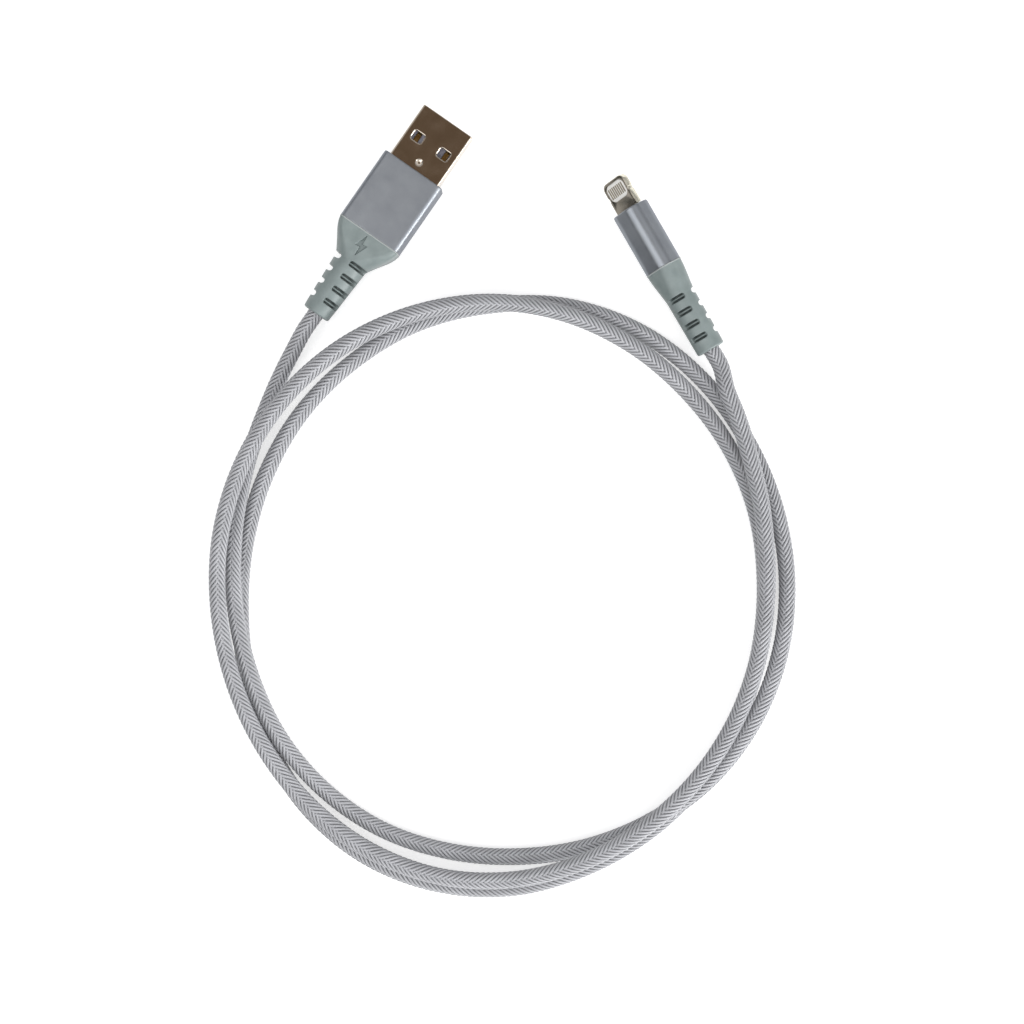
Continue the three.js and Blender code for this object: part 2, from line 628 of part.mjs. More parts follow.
// The least gap between two places on the cord that are more than four diameters of cord apart,
// measured on ten points between each two stations.
function leastSelfGap(points) {
  const parts = 10;
  const fine = [];
  for (let k = 0; k + 1 < points.length; k += 1) {
    for (let part = 0; part < parts; part += 1) {
      fine.push(points[k].clone().lerp(points[k + 1], part / parts));
    }
  }
  const travel = [0];
  for (let k = 1; k < fine.length; k += 1) {
    travel.push(travel[k - 1] + fine[k].distanceTo(fine[k - 1]));
  }
  let least = Infinity;
  for (let a = 0; a < fine.length; a += 1) {
    for (let b = a + 1; b < fine.length; b += 1) {
      if (travel[b] - travel[a] > 4 * CORD_DIAMETER) {
        least = Math.min(least, fine[a].distanceTo(fine[b]));
      }
    }
  }
  return { gap: least - CORD_DIAMETER, length: travel.at(-1) };
}

const cord = leastSelfGap(loopPoints);
console.log(`loops: ${cord.length.toFixed(0)} mm of cord, least gap to itself ${cord.gap.toFixed(2)} mm`);

// ---------- materials ----------

function material(color, roughness, metalness) {
  return new THREE.MeshStandardMaterial({ color, roughness, metalness });
}

const braid = () => material(0x949498, 0.7, 0.0);
const boot = () => material(0x808e8b, 0.55, 0.0);
const anodised = () => material(0x878b91, 0.35, 1.0);
const nickel = () => material(0xb0aca4, 0.15, 1.0);
const gold = () => material(0xd8b25a, 0.25, 1.0);
const wirePlastic = { red: 0xb02a22, white: 0xe6e4de, green: 0x2f8a4a, black: 0x1d1d1f };

// ---------- the assembly ----------

const cable = new THREE.Group();
const charger = new THREE.Group();
charger.position.set(0, 0, CHARGER_AXIS);
const phone = new THREE.Group();
phone.position.copy(phoneExit);
phone.rotation.set(0, THREE.MathUtils.degToRad(-PHONE_ROLL),
  THREE.MathUtils.degToRad(PHONE_HEADING - 90), 'ZYX');
cable.add(charger, phone);

function place(group, name, geometry, finish) {
  const mesh = new THREE.Mesh(geometry, finish);
  mesh.name = name;
  group.add(mesh);
}

place(charger, 'charger_shell', makeShell(), nickel());
place(charger, 'charger_insulator', makeInsulator(), material(0xc9c6d6, 0.5, 0.0));
for (const contact of CHARGER_CONTACTS) {
  place(charger, contact.name, makeChargerContact(contact), gold());
}
place(charger, 'charger_inner_mould', makeInnerMould(), material(0xd9dadb, 0.6, 0.0));
place(charger, 'charger_sleeve', makeSleeve(CHARGER_SLEEVE, CHARGER_FRONT), anodised());
place(charger, 'charger_boot', makeBoot(CHARGER_SLEEVE, CHARGER_BOOT, CHARGER_REAR), boot());
place(charger, 'charger_cord_core', makeCore(CHARGER_REAR), material(0x55585c, 0.6, 0.0));
place(charger, 'charger_crimp_ring', makeCrimp(CHARGER_REAR), nickel());
chargerWires().forEach((wire, k) => {
  place(charger, `charger_wire_${WIRE_NAMES[k]}`, wire, material(wirePlastic[WIRE_NAMES[k]], 0.5, 0.0));
});

place(phone, 'phone_tab_frame', makeTabFrame(), nickel());
place(phone, 'phone_contact_block', makeContactBlock(), material(0xe4e2da, 0.5, 0.0));
for (let k = 0; k < PHONE_CONTACT.count; k += 1) {
  place(phone, `phone_contact_top_${k + 1}`, makePhoneContact(k, 1), gold());
  place(phone, `phone_contact_bottom_${k + 1}`, makePhoneContact(k, -1), gold());
}
place(phone, 'phone_collar', makeCollar(), material(0xd9dadb, 0.6, 0.0));
place(phone, 'phone_board', makeBoard(), material(0x2c6b46, 0.5, 0.0));
place(phone, 'phone_chip', makeChip(), material(0x26272a, 0.4, 0.0));
place(phone, 'phone_sleeve', makeSleeve(PHONE_SLEEVE, PHONE_FRONT), anodised());
place(phone, 'phone_boot', makeBoot(PHONE_SLEEVE, PHONE_BOOT, PHONE_REAR), boot());
place(phone, 'phone_cord_core', makeCore(PHONE_REAR), material(0x55585c, 0.6, 0.0));
place(phone, 'phone_crimp_ring', makeCrimp(PHONE_REAR), nickel());
phoneWires().forEach((wire, k) => {
  place(phone, `phone_wire_${WIRE_NAMES[k]}`, wire, material(wirePlastic[WIRE_NAMES[k]], 0.5, 0.0));
});

place(cable, 'cord_charger_lead', makeLead(chargerLeadPoints), braid());
place(cable, 'cord_loops', makeLoops(withStraightEnds(loopPoints)), braid());
place(cable, 'cord_phone_lead', makeLead(phoneLeadPoints), braid());

export default cable;
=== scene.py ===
"""The looks of a braided charging cable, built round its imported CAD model.

A type-A plug for the charger and an eight-contact tab plug for the phone, with a metre of braided cord
in loose loops between them. Plug pieces are drawn in millimetres in their plug's own frame: x to the
right, y towards the tip and z out of its top face. A place matrix then sets them where the CAD model
has them.
"""

import json
import math
from functools import partial
from types import SimpleNamespace as Sizes

import bmesh
import bpy
import numpy as np
from mathutils import Matrix, Vector
from mathutils.geometry import tessellate_polygon


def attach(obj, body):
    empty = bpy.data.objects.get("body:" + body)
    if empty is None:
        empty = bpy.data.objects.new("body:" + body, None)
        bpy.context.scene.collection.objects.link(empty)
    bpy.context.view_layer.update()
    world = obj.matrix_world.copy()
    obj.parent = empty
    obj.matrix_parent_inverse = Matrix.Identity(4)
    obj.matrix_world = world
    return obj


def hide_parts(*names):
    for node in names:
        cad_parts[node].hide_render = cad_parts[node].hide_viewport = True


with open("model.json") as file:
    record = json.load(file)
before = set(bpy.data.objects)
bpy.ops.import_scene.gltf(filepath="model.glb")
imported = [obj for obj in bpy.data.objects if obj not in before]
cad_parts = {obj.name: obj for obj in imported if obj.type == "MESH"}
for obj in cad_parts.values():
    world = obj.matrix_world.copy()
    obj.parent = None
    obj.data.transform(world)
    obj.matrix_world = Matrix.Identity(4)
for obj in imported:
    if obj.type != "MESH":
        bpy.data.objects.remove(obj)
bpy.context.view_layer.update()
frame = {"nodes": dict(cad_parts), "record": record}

MM = 0.001

# ---------- sizes in millimetres ----------

# They are the CAD model's, but for the shell's corner and the tab's edges and notches, which are drawn
# as small as the photograph shows them.

CORD_DIAMETER = 3.6
BOOT_LENGTH = 19.7
NECK_START = 7.0            # from the boot's shoulder to its round neck
SPIGOT = 2.0                # the part of a boot inside its sleeve
SLEEVE_WALL = 0.5
FIT = 0.15
CORE_BORE = 2.9

CHARGER_SLEEVE = Sizes(width=14.2, height=7.5, corner=1.2)
PHONE_SLEEVE = Sizes(width=7.4, height=6.5, corner=2.4)
CHARGER_TIP, CHARGER_FRONT, CHARGER_REAR, CHARGER_END = 24.0, 11.7, -4.3, -24.0
PHONE_REAR, PHONE_FRONT, PHONE_TIP = 19.7, 33.5, 40.5

SHELL = Sizes(width=12.0, height=4.5, corner=0.35, wall=0.3, buried=5.0, rim=0.12, worn=0.03)
WINDOW = Sizes(width=2.5, length=2.0, corner=0.45, spread=6.4, from_tip=6.3,
               chamfer=0.2, chamfer_depth=0.14)
DIMPLE = Sizes(diameter=1.7, depth=0.2, from_tip=10.5)
SEAM_WIDTH = 0.12

TAB = Sizes(width=6.7, thickness=1.5, front=1.4, edge=0.3, shank=5.2, buried=4.0,
            opening_edge=0.1, ground=0.25)
BLOCK = Sizes(width=5.3, length=3.7, corner=1.2, from_tip=0.65, edge=0.12, sunk=0.05, gap=0.03)
NOTCH = Sizes(radius=0.8, depth=0.18, from_tip=3.4)
CONTACT = Sizes(width=0.36, length=2.3, thickness=0.18, pitch=0.58, count=8, edge=0.04)

# How far the flare has gone from the sleeve's size to the neck's, at distances from the shoulder.
FLARE = [(0.0, 0.0), (0.84, 0.03), (1.7, 0.12), (2.6, 0.24), (3.6, 0.42), (5.0, 0.67), (7.0, 1.0)]
# The slots stand in rows of three. Two of them have a ridge along their floor, which shows as a paler
# line between two dark ones, darkened further by painted shade; the third is cut straight through the
# boot's side down to its own floor.
SLOT = Sizes(width=1.2, core=3.8, first=7.25, pitch=3.05, rows=4, soft=0.05,
             floor_round=0.2, end_round=0.45, ridge=0.8, ridge_foot=0.3, ridge_top=0.13)
CHARGER_BOOT = Sizes(neck=7.4, end=6.0, span=83, ridged=(44, 164), open=270, open_floor=2.1, sign=True)
PHONE_BOOT = Sizes(neck=6.3, end=6.06, span=74, ridged=(23, 263), open=143, open_floor=2.2, sign=False)

# ---------- the two plugs' places ----------

PHONE_END = Vector((71.2, 16.45))
PHONE_HEADING = math.radians(154.8)
PHONE_ROLL = math.radians(50)
PHONE_AXIS = (PHONE_SLEEVE.corner
              + (PHONE_SLEEVE.width / 2 - PHONE_SLEEVE.corner) * math.sin(PHONE_ROLL)
              + (PHONE_SLEEVE.height / 2 - PHONE_SLEEVE.corner) * math.cos(PHONE_ROLL))
CHARGER_AXIS = CHARGER_SLEEVE.height / 2

charger_place = Matrix.Scale(MM, 4) @ Matrix.Translation((0, 0, CHARGER_AXIS))
phone_place = (Matrix.Scale(MM, 4)
               @ Matrix.Translation((PHONE_END.x, PHONE_END.y, PHONE_AXIS))
               @ Matrix.Rotation(PHONE_HEADING - math.pi / 2, 4, "Z")
               @ Matrix.Rotation(-PHONE_ROLL, 4, "Y"))

# ---------- the cord's route, as the CAD model has it ----------

# Round the loops' centre, at every 15 degrees: the distance from it and the layer the cord lies in.
LOOP_CENTRE = (65.0, -49.8)
LOOP_START, LOOP_STEP = 172.5, 15
LOOP_STATIONS = [
    (63.9, 0.05), (59.6, 0.2), (56.5, 1.05), (55, 1), (54.3, 1), (54.4, 0.75), (54.6, 0.15), (54.5, 0),
    (54.1, 0), (54.1, 0), (54.6, 0.3), (55.2, 0.95), (56.4, 1.15), (57.5, 0.85), (58.4, 0.3), (58.9, 0),
    (59.3, 0), (59.9, 0), (60.9, 0), (61.6, 0), (61.4, 0), (60.2, 0), (59.1, 0), (57.6, 0),
    (56.4, 0), (55.2, 0), (54.5, 0), (54.5, 0), (55.7, 0), (57.7, 0), (59.7, 0), (61, 0),
    (61.2, 0), (60.5, 0), (58.8, 0), (57.3, 0), (56, 0), (54.9, 0), (54.3, 0), (54.3, 0),
    (55.1, 0), (55.9, 0.15), (56.8, 0.3), (58.1, 0.75), (59.5, 0.95), (60.5, 1), (60.9, 1), (61, 1),
    (60.7, 1), (60, 1.25), (58.9, 1.9), (58.1, 1.7), (57.7, 1.55), (57.9, 1.25), (58.5, 1), (58.9, 1),
    (58.9, 1), (58.1, 1), (56.6, 1.35), (55, 2), (54.1, 2), (53.9, 1.35), (53.9, 1), (54.3, 1),
    (56, 1),
]
CHARGER_LEAD = [(165, 66.9, 0.25)]
PHONE_LEAD = [(60, 57.3, 1), (66, 58.7, 1), (72, 60.6, 0.95), (77.5, 62.6, 0.8)]
TABLE_GAP, STRAND_GAP = 0.05, 0.5
ROUTE_STEP = 0.25           # about this far from one point of the route to the next
STRAIGHT = 3.9              # the straight run out of each boot
INSIDE_BOOT = 1.4           # how far the braid goes on inside a boot's end

# ---------- the braid ----------

# Twelve yarns turn to the right and twelve to the left. They pass over and under each other in four
# columns round the cord, which show as a herringbone.
YARNS = 12
COLUMNS = 4
ROW_PITCH = 1.12            # from one row of the herringbone to the next
YARN_WIDTH = 0.66
YARN_THICKNESS = 0.42
YARN_SIDES = 6
LAY_DEPTH = 0.85            # from the cord's outside in to a yarn's middle height, in yarn thicknesses
WEAVE_HEIGHT = 0.35         # how far it goes up and down from there, in yarn thicknesses
STEPS_PER_ROW = 2           # points along a yarn while it turns by one yarn's place
COLUMN_EDGE = -0.22         # where a column's edge is, in radians from the cord's top
DRIFT = 0.3                 # how far the columns wander from there, in radians, to either side
DRIFT_LENGTH = 260          # the length of cord over which they wander there and back
JACKET_DIAMETER = 2.7
JACKET_SIDES = 16


# ---------- small tools ----------

def linear(hex_colour):
    """An sRGB colour such as "#a9aab2" as linear red, green, blue and alpha."""
    channels = [int(hex_colour[at:at + 2], 16) / 255 for at in (1, 3, 5)]
    return [c / 12.92 if c <= 0.04045 else ((c + 0.055) / 1.055) ** 2.4 for c in channels] + [1.0]


def per_metre(size):
    """The scale of a pattern whose features are this many millimetres across."""
    return 1 / (size * MM)


# The kinds of node that are used most.
MATH, VECTOR_MATH, COMBINE = "ShaderNodeMath", "ShaderNodeVectorMath", "ShaderNodeCombineXYZ"
NOISE, MIX, RANGE = "ShaderNodeTexNoise", "ShaderNodeMix", "ShaderNodeMapRange"


def fill(node, values):
    """Gives a node these properties and inputs. A socket is linked, and a node stands for its first
    output."""
    for key, value in values.items():
        if isinstance(value, bpy.types.Node):
            value = value.outputs[0]
        if isinstance(key, str) and hasattr(node, key):
            setattr(node, key, value)
        elif isinstance(value, bpy.types.NodeSocket):
            node.id_data.links.new(value, node.inputs[key])
        else:
            node.inputs[key].default_value = value
    return node


def add_node(tree, kind, values=None):
    """Adds a node of this kind with these values."""
    return fill(tree.nodes.new(kind), values or {})


def start_material(name, surface):
    """A new material whose shader has these values. Returns it with a function that adds nodes to it, its
    shader and its coordinates."""
    material = bpy.data.materials.new(name)
    material.use_nodes = True
    add = partial(add_node, material.node_tree)
    shader = fill(material.node_tree.nodes["Principled BSDF"], surface)
    return material, add, shader, add("ShaderNodeTexCoord").outputs["Object"]


# ---------- materials ----------

def braided_nylon():
    """Nylon yarn, solution-dyed silver grey and braided, with the fine lines of its filaments and a dull
    sheen. Its colour holds painted shade along each yarn's edges and between its bundles, and a painted
    highlight along their backs."""
    plies = 3               # filament bundles side by side in one yarn
    # How much lighter the yarn is along its back, on a bundle's back and on a fibre, than in the gaps:
    # painted highlight on the backs, painted shade in the gaps, and the fibres' own tone.
    back_highlight, on_ply, on_fibre, gap_shade = 0.6, 0.22, 0.4, -0.12
    material, add, shader, coordinates = start_material("braided_nylon", {
        "Roughness": 0.45, "Sheen Weight": 0.2, "Sheen Roughness": 0.35})
    across = add("ShaderNodeAttribute", {"attribute_name": "across"}).outputs["Fac"]
    round_shading = add(MATH, {"operation": "MULTIPLY", 0: across, 1: math.pi})
    round_shading = add(MATH, {"operation": "SINE", 0: round_shading})
    ply = add(MATH, {"operation": "MULTIPLY", 0: across, 1: plies * math.pi})
    ply = add(MATH, {"operation": "SINE", 0: ply})
    ply = add(MATH, {"operation": "ABSOLUTE", 0: ply})
    # Single fibres are far finer than the 0.25 mm drawn here, which is as coarse as it needs to show.
    fibres = add(NOISE, {"Vector": coordinates, "Scale": per_metre(0.25), "Detail": 3.0})
    patches = add(NOISE, {"Vector": coordinates, "Scale": per_metre(6.0), "Detail": 2.0})
    # Painted shade towards the edges of each yarn and bundle, painted highlight along their backs.
    tone = gap_shade
    for height, share in ((round_shading, back_highlight), (ply, on_ply), (fibres, on_fibre)):
        tone = add(MATH, {"operation": "MULTIPLY_ADD", 0: height, 1: share, 2: tone})
    colour = add(MIX, {"data_type": "RGBA", 0: tone, 6: linear("#4d4e51"), 7: linear("#c9cace")}).outputs[2]
    shade = add(RANGE, {"Value": patches, "From Min": 0.3, "From Max": 0.7, "To Min": 0.9, "To Max": 1.04})
    colour = add(VECTOR_MATH, {"operation": "SCALE", 0: colour, "Scale": shade})
    height = add(MATH, {"operation": "MULTIPLY_ADD", 0: fibres, 1: 0.5, 2: ply})
    bump = add("ShaderNodeBump", {"Strength": 0.6, "Distance": 0.03 * MM, "Height": height})
    fill(shader, {"Base Color": colour, "Normal": bump})
    return material


def plain_finish(name, hex_low, hex_high, mottle, grain, depth, metallic, roughness, rough_spread,
                 more=None, hex_painted_light=None, hex_painted_shade=None):
    """A moulded, plated or painted finish: its colour drifts between two tones, and its roughness with
    it, over patches of one size in millimetres, and a fine grain of another size stands up by a depth in
    millimetres. Where a mesh has the attribute "pale", the colour goes towards a third tone, painted light;
    where it has "deep", towards a fourth tone, painted shade."""
    material, add, shader, coordinates = start_material(name, {
        "Metallic": metallic, "Roughness": roughness, **(more or {})})
    patches = add(NOISE, {"Vector": coordinates, "Scale": per_metre(mottle), "Detail": 3.0})
    spread = add(RANGE, {"Value": patches, "From Min": 0.32, "From Max": 0.68})
    colour = add(MIX, {"data_type": "RGBA", 0: spread, 6: linear(hex_low), 7: linear(hex_high)}).outputs[2]
    for attribute, hex_there in (("pale", hex_painted_light), ("deep", hex_painted_shade)):
        if hex_there:
            share = add("ShaderNodeAttribute", {"attribute_name": attribute}).outputs["Fac"]
            colour = add(MIX, {"data_type": "RGBA", 0: share, 6: colour, 7: linear(hex_there)}).outputs[2]
    rough = add(MATH, {
        "operation": "MULTIPLY_ADD", 0: spread, 1: rough_spread, 2: roughness - rough_spread / 2})
    pits = add(NOISE, {"Vector": coordinates, "Scale": per_metre(grain), "Detail": 2.0})
    bump = add("ShaderNodeBump", {"Strength": 1.0, "Distance": depth * MM, "Height": pits})
    fill(shader, {"Base Color": colour, "Roughness": rough, "Normal": bump})
    return material


# Each slot's finish, as plain_finish takes it: its name, its two tones, the sizes of the patches and of
# the grain, the grain's depth, how metallic it is, its roughness and how far that spreads.
FINISHES = {
    # Thermoplastic elastomer from a spark-eroded mould: matt, a little cloudy, grey-green, with a painted
    # highlight along the seam and painted shade deep in the slots.
    "boot_elastomer": ("moulded_tpe", "#7c8786", "#889392", 2.5, 0.16, 0.012, 0.0, 0.42, 0.08,
                       {}, "#a4a9a8", "#4a5251"),
    # Bead-blasted and anodised aluminium: satin. The pits are finer than the 0.12 mm drawn here, which is
    # as coarse as they need to show.
    "sleeve_aluminium": ("bead_blasted_anodised_aluminium", "#8d9197", "#95999e", 4.0, 0.12, 0.006,
                         1.0, 0.4, 0.03, {"Specular Tint": linear("#c8c9cc")}),
    # Bright nickel over steel: a mirror with faint handling haze.
    "plug_nickel": ("bright_nickel_plate", "#c2b8aa", "#cabfb1", 3.0, 0.8, 0.0012, 1.0, 0.1, 0.05),
    # Satin nickel over machined steel, with a painted reflection that makes its sides paler.
    "tab_nickel": ("satin_nickel_plate", "#7d786d", "#89837a", 1.5, 0.4, 0.0015, 1.0, 0.2, 0.05,
                   {}, "#dad6c6"),
    # Hard gold flash.
    "contact_gold": ("hard_gold_plate", "#a88d57", "#bda26b", 0.8, 0.25, 0.002, 1.0, 0.14, 0.04),
    # The phone plug's contacts: a thin flash over palladium nickel, paler than the charger plug's.
    "pale_contact": ("palladium_gold_flash", "#8f8778", "#a09784", 0.8, 0.25, 0.002, 1.0, 0.3, 0.06),
    # Glass-filled PBT, pale lavender grey.
    "insulator_plastic": ("glass_filled_pbt", "#9f9eac", "#abaab7", 1.2, 0.15, 0.006, 0.0, 0.45, 0.06),
    # Liquid-crystal polymer, off-white.
    "block_plastic": ("liquid_crystal_polymer", "#efede8", "#f7f6f2", 0.8, 0.1, 0.004, 0.0, 0.4, 0.06),
    # Low-pressure hot-melt moulding, light grey.
    "mould_plastic": ("hot_melt_moulding", "#c6c8cb", "#d6d7d9", 1.8, 0.2, 0.01, 0.0, 0.55, 0.08),
    # Extruded elastomer jacket under the braid, dark grey.
    "jacket_plastic": ("extruded_jacket", "#3b3d42", "#484a50", 2.0, 0.15, 0.008, 0.0, 0.6, 0.06),
    # Drawn steel, zinc-plated.
    "crimp_steel": ("zinc_plated_steel", "#a9adb3", "#bcbfc2", 0.9, 0.12, 0.004, 1.0, 0.3, 0.1),
    # Extruded PVC on the conductors.
    "wire_red": ("red_pvc", "#a3241d", "#b5302a", 1.0, 0.1, 0.003, 0.0, 0.4, 0.05),
    "wire_white": ("white_pvc", "#dddbd4", "#e8e6e0", 1.0, 0.1, 0.003, 0.0, 0.4, 0.05),
    "wire_green": ("green_pvc", "#28803f", "#338f4d", 1.0, 0.1, 0.003, 0.0, 0.4, 0.05),
    "wire_black": ("black_pvc", "#18181a", "#222224", 1.0, 0.1, 0.003, 0.0, 0.4, 0.05),
    # Glass-epoxy board under green solder mask.
    "circuit_board": ("solder_mask", "#22593a", "#2f7049", 0.9, 0.2, 0.004, 0.0, 0.35, 0.05,
                      {"Coat Weight": 0.2}),
    # Moulded epoxy resin, near black.
    "chip_resin": ("moulded_epoxy", "#222326", "#2d2e31", 0.8, 0.08, 0.006, 0.0, 0.55, 0.08),
}
finishes = {slot: plain_finish(*values) for slot, values in FINISHES.items()}
finishes["braid"] = braided_nylon()


# ---------- meshes ----------

WELD = 0.0005 * MM          # points closer than this are one
# A rounded rectangle's corners: their sides of the middle, and the degree where each one's arc starts.
QUARTERS = ((1, 1, 0), (-1, 1, 90), (-1, -1, 180), (1, -1, 270))
CORNER_STEPS, RIM_STEPS = 14, 5             # faces round each corner and each rim of a tube
CORNER_SUPPORT, RIM_SUPPORT = 0.12, 0.1     # how far beside them the close points and rings are


def add_object(name, data):
    """An object with this data, in the scene."""
    piece = bpy.data.objects.new(name, data)
    bpy.context.scene.collection.objects.link(piece)
    return piece


def add_piece(name, solid, place, slot):
    """A mesh object from points in its plug's millimetres and faces, set in its place, with its finish."""
    points, faces = solid
    mesh = bpy.data.meshes.new(name)
    mesh.from_pydata([place @ Vector(point) for point in points], [], faces)
    mesh.validate()
    mesh.polygons.foreach_set("use_smooth", [True] * len(mesh.polygons))
    mesh.materials.append(finishes[slot])
    return add_object(name, mesh)


def mark(piece, name, values):
    """Stores a share from 0 to 1 at each point of the piece, for its finish."""
    piece.data.attributes.new(name, "FLOAT", "POINT").data.foreach_set("value", values)


def hand_over(piece, slot, *nodes):
    """The piece rides on the one body and stands for these nodes. Its slot is not used."""
    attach(piece, "root")
    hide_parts(*nodes)


def plain_mesh(piece):
    """What the piece is with its modifiers, as a plain mesh."""
    return bpy.data.meshes.new_from_object(piece.evaluated_get(bpy.context.evaluated_depsgraph_get()))


def apply_modifiers(piece):
    """Turns what the modifiers make into the piece's own mesh."""
    result = plain_mesh(piece)
    piece.modifiers.clear()
    old, piece.data = piece.data, result
    result.name = piece.name
    bpy.data.meshes.remove(old)


def weld(mesh):
    """Joins points that lie on each other and takes out faces without an area."""
    welded = bmesh.new()
    welded.from_mesh(mesh)
    bmesh.ops.remove_doubles(welded, verts=welded.verts, dist=WELD)
    bmesh.ops.dissolve_degenerate(welded, edges=welded.edges, dist=WELD)
    welded.to_mesh(mesh)
    welded.free()


def arc(x, y, radius, first, last, steps):
    """Points on a plane along an arc round (x, y), from one angle in degrees to another."""
    return [(x + radius * math.cos(a), y + radius * math.sin(a))
            for a in np.linspace(math.radians(first), math.radians(last), steps + 1)]


def ring_faces(count, total, start=0, closed=False):
    """Faces from each ring of points to the next, the last one joined to the first in a closed shell.
    The rings have the same number of points, numbered on from the start."""
    return [(here + k, here + (k + 1) % count, there + (k + 1) % count, there + k)
            for here, there in ((start + ring * count, start + (ring + 1) % total * count)
                                for ring in range(total if closed else total - 1))
            for k in range(count)]


def tube_ring(size, y, inset):
    """A rounded rectangle, inset all round, with a close point on the flats beside each corner."""
    radius = size.corner - inset
    x, z = size.width / 2 - size.corner, size.height / 2 - size.corner
    ring = []
    for sx, sz, start in QUARTERS:
        corner = arc(sx * x, sz * z, radius, start, start + 90, CORNER_STEPS)
        (x1, z1), (x2, z2) = corner[0], corner[-1]
        first, last = math.radians(start), math.radians(start + 90)
        before = (x1 + CORNER_SUPPORT * math.sin(first), z1 - CORNER_SUPPORT * math.cos(first))
        after = (x2 - CORNER_SUPPORT * math.sin(last), z2 + CORNER_SUPPORT * math.cos(last))
        ring += [(across, y, up) for across, up in (before, *corner, after)]
    return ring


def tube(size, front, rear, wall, rim, rear_rim, inner_rim):
    """Points and faces of a rounded rectangular tube. Its rims are rounded, at the front, at the rear
    and inside, and a close ring beside each keeps the shading of the long faces flat."""
    def rounding(y, radius, inset, start):
        return [(y + radius * math.sin(a), inset - radius * math.cos(a))
                for a in np.linspace(math.radians(start), math.radians(start + 90), RIM_STEPS + 1)]

    meridian = (rounding(rear + rear_rim, rear_rim, rear_rim, -90)
                + [(rear + rear_rim + RIM_SUPPORT, 0), (front - rim - RIM_SUPPORT, 0)]
                + rounding(front - rim, rim, rim, 0)
                + rounding(front - inner_rim, inner_rim, wall - inner_rim, 90)
                + [(front - inner_rim - RIM_SUPPORT, wall), (rear + inner_rim + RIM_SUPPORT, wall)]
                + rounding(rear + inner_rim, inner_rim, wall - inner_rim, 180))
    rings = [tube_ring(size, y, inset) for y, inset in meridian[::-1]]
    return [point for ring in rings for point in ring], ring_faces(len(rings[0]), len(rings), closed=True)


# ---------- sleeves ----------

RIMS = (0.3, 0.06, 0.1)     # rounding of a sleeve's front, rear and inner edges

charger_sleeve = add_piece(
    "charger_sleeve_satin", tube(CHARGER_SLEEVE, CHARGER_FRONT, CHARGER_REAR, SLEEVE_WALL, *RIMS),
    charger_place, "sleeve_aluminium")
phone_sleeve = add_piece(
    "phone_sleeve_satin", tube(PHONE_SLEEVE, PHONE_FRONT, PHONE_REAR, SLEEVE_WALL, *RIMS),
    phone_place, "sleeve_aluminium")


# ---------- boots ----------

# The generic zigzag sign pressed into the charger boot's flare, from above: its corners, round its
# middle, and how deep it is.
SIGN = [(-0.05, 2.35), (-1.2, -0.45), (-0.12, -0.36), (0.05, -2.35), (1.2, 0.45), (0.12, 0.36)]
SIGN_PLACE = (0.1, -3.05)
SIGN_DEPTH = 0.6
SIGN_SOFT = 0.05            # half the width of the slope round it
OPEN_REACH = math.radians(60)      # what lies this near to the open row belongs to it
SHADE_FROM = 0.5             # painted shade darkens a ridged slot from this share of its depth on

BOOT_COLUMNS = 320          # points round a boot
# The seam shows as a small bead that stands up beside the sleeve: distances from the shoulder, and how
# far the bead stands out there. A painted highlight makes it paler up to a distance.
BEAD = [(0.01, -0.3), (0.01, -0.05), (0.03, 0.03), (0.08, 0.07), (0.16, 0.085), (0.24, 0.06), (0.31, 0.0)]
BEAD_HIGHLIGHT = 0.27
FLARE_ROWS = np.arange(0.4, NECK_START, 0.055)     # rows of points on the flare, from the shoulder
FLARE_SOFT = 0.5            # the flare's corners are evened out over this distance to either side
# Rows of points on the neck, from a slot's middle: these on both sides of it, and more towards the end.
SLOT_ROWS = [0.1, 0.25, 0.37, 0.45, 0.51, 0.55, 0.58, 0.61, 0.64, 0.67, 0.8]
PLAIN_ROWS = [1.05, 1.3, 1.6, 1.9]
LAST_ROW = BOOT_LENGTH - 0.5        # no row of a slot is nearer to the boot's end than this
LIP, MOUTH_EDGE = 0.45, 0.15        # roundings of the boot's end, outside and in its mouth
BRAID_ROOM = 0.06           # room round the braid in the boot's mouth


def ramp(low, high, value):
    """Goes smoothly from 0 at one value to 1 at the other."""
    t = np.clip((value - low) / (high - low), 0, 1)
    return t * t * (3 - 2 * t)


def polar_radius(width, height, corner, angles):
    """Distances from the axis to a rounded rectangle's edge, along rays at these angles."""
    c, s = np.abs(np.cos(angles)), np.abs(np.sin(angles))
    flat = np.minimum(width / 2 / np.maximum(c, 1e-9), height / 2 / np.maximum(s, 1e-9))
    x, z = width / 2 - corner, height / 2 - corner
    along = c * x + s * z
    rounded = along + np.sqrt(np.maximum(along ** 2 - (x * x + z * z) + corner ** 2, 0))
    return np.where((flat * c > x) & (flat * s > z), rounded, flat)


def outside_distance(x, y, outline):
    """Signed distances from points at one height to a closed outline: negative inside it."""
    best = np.full(x.shape, 1e9)
    inside = np.zeros(x.shape, bool)
    for (ax, ay), (bx, by) in zip(outline, outline[1:] + outline[:1]):
        ex, ey = bx - ax, by - ay
        t = np.clip(((x - ax) * ex + (y - ay) * ey) / (ex * ex + ey * ey), 0, 1)
        best = np.minimum(best, np.hypot(x - ax - t * ex, y - ay - t * ey))
        if (ay > y) != (by > y):
            inside ^= x < ax + (y - ay) / ey * ex
    return np.where(inside, -best, best)


def turned_from(angles, turn):
    """How far, in radians, each angle is from a turn in degrees from a plug's top to its right."""
    middle = math.pi / 2 - math.radians(turn)
    return np.abs((angles - middle + math.pi) % (2 * math.pi) - math.pi)


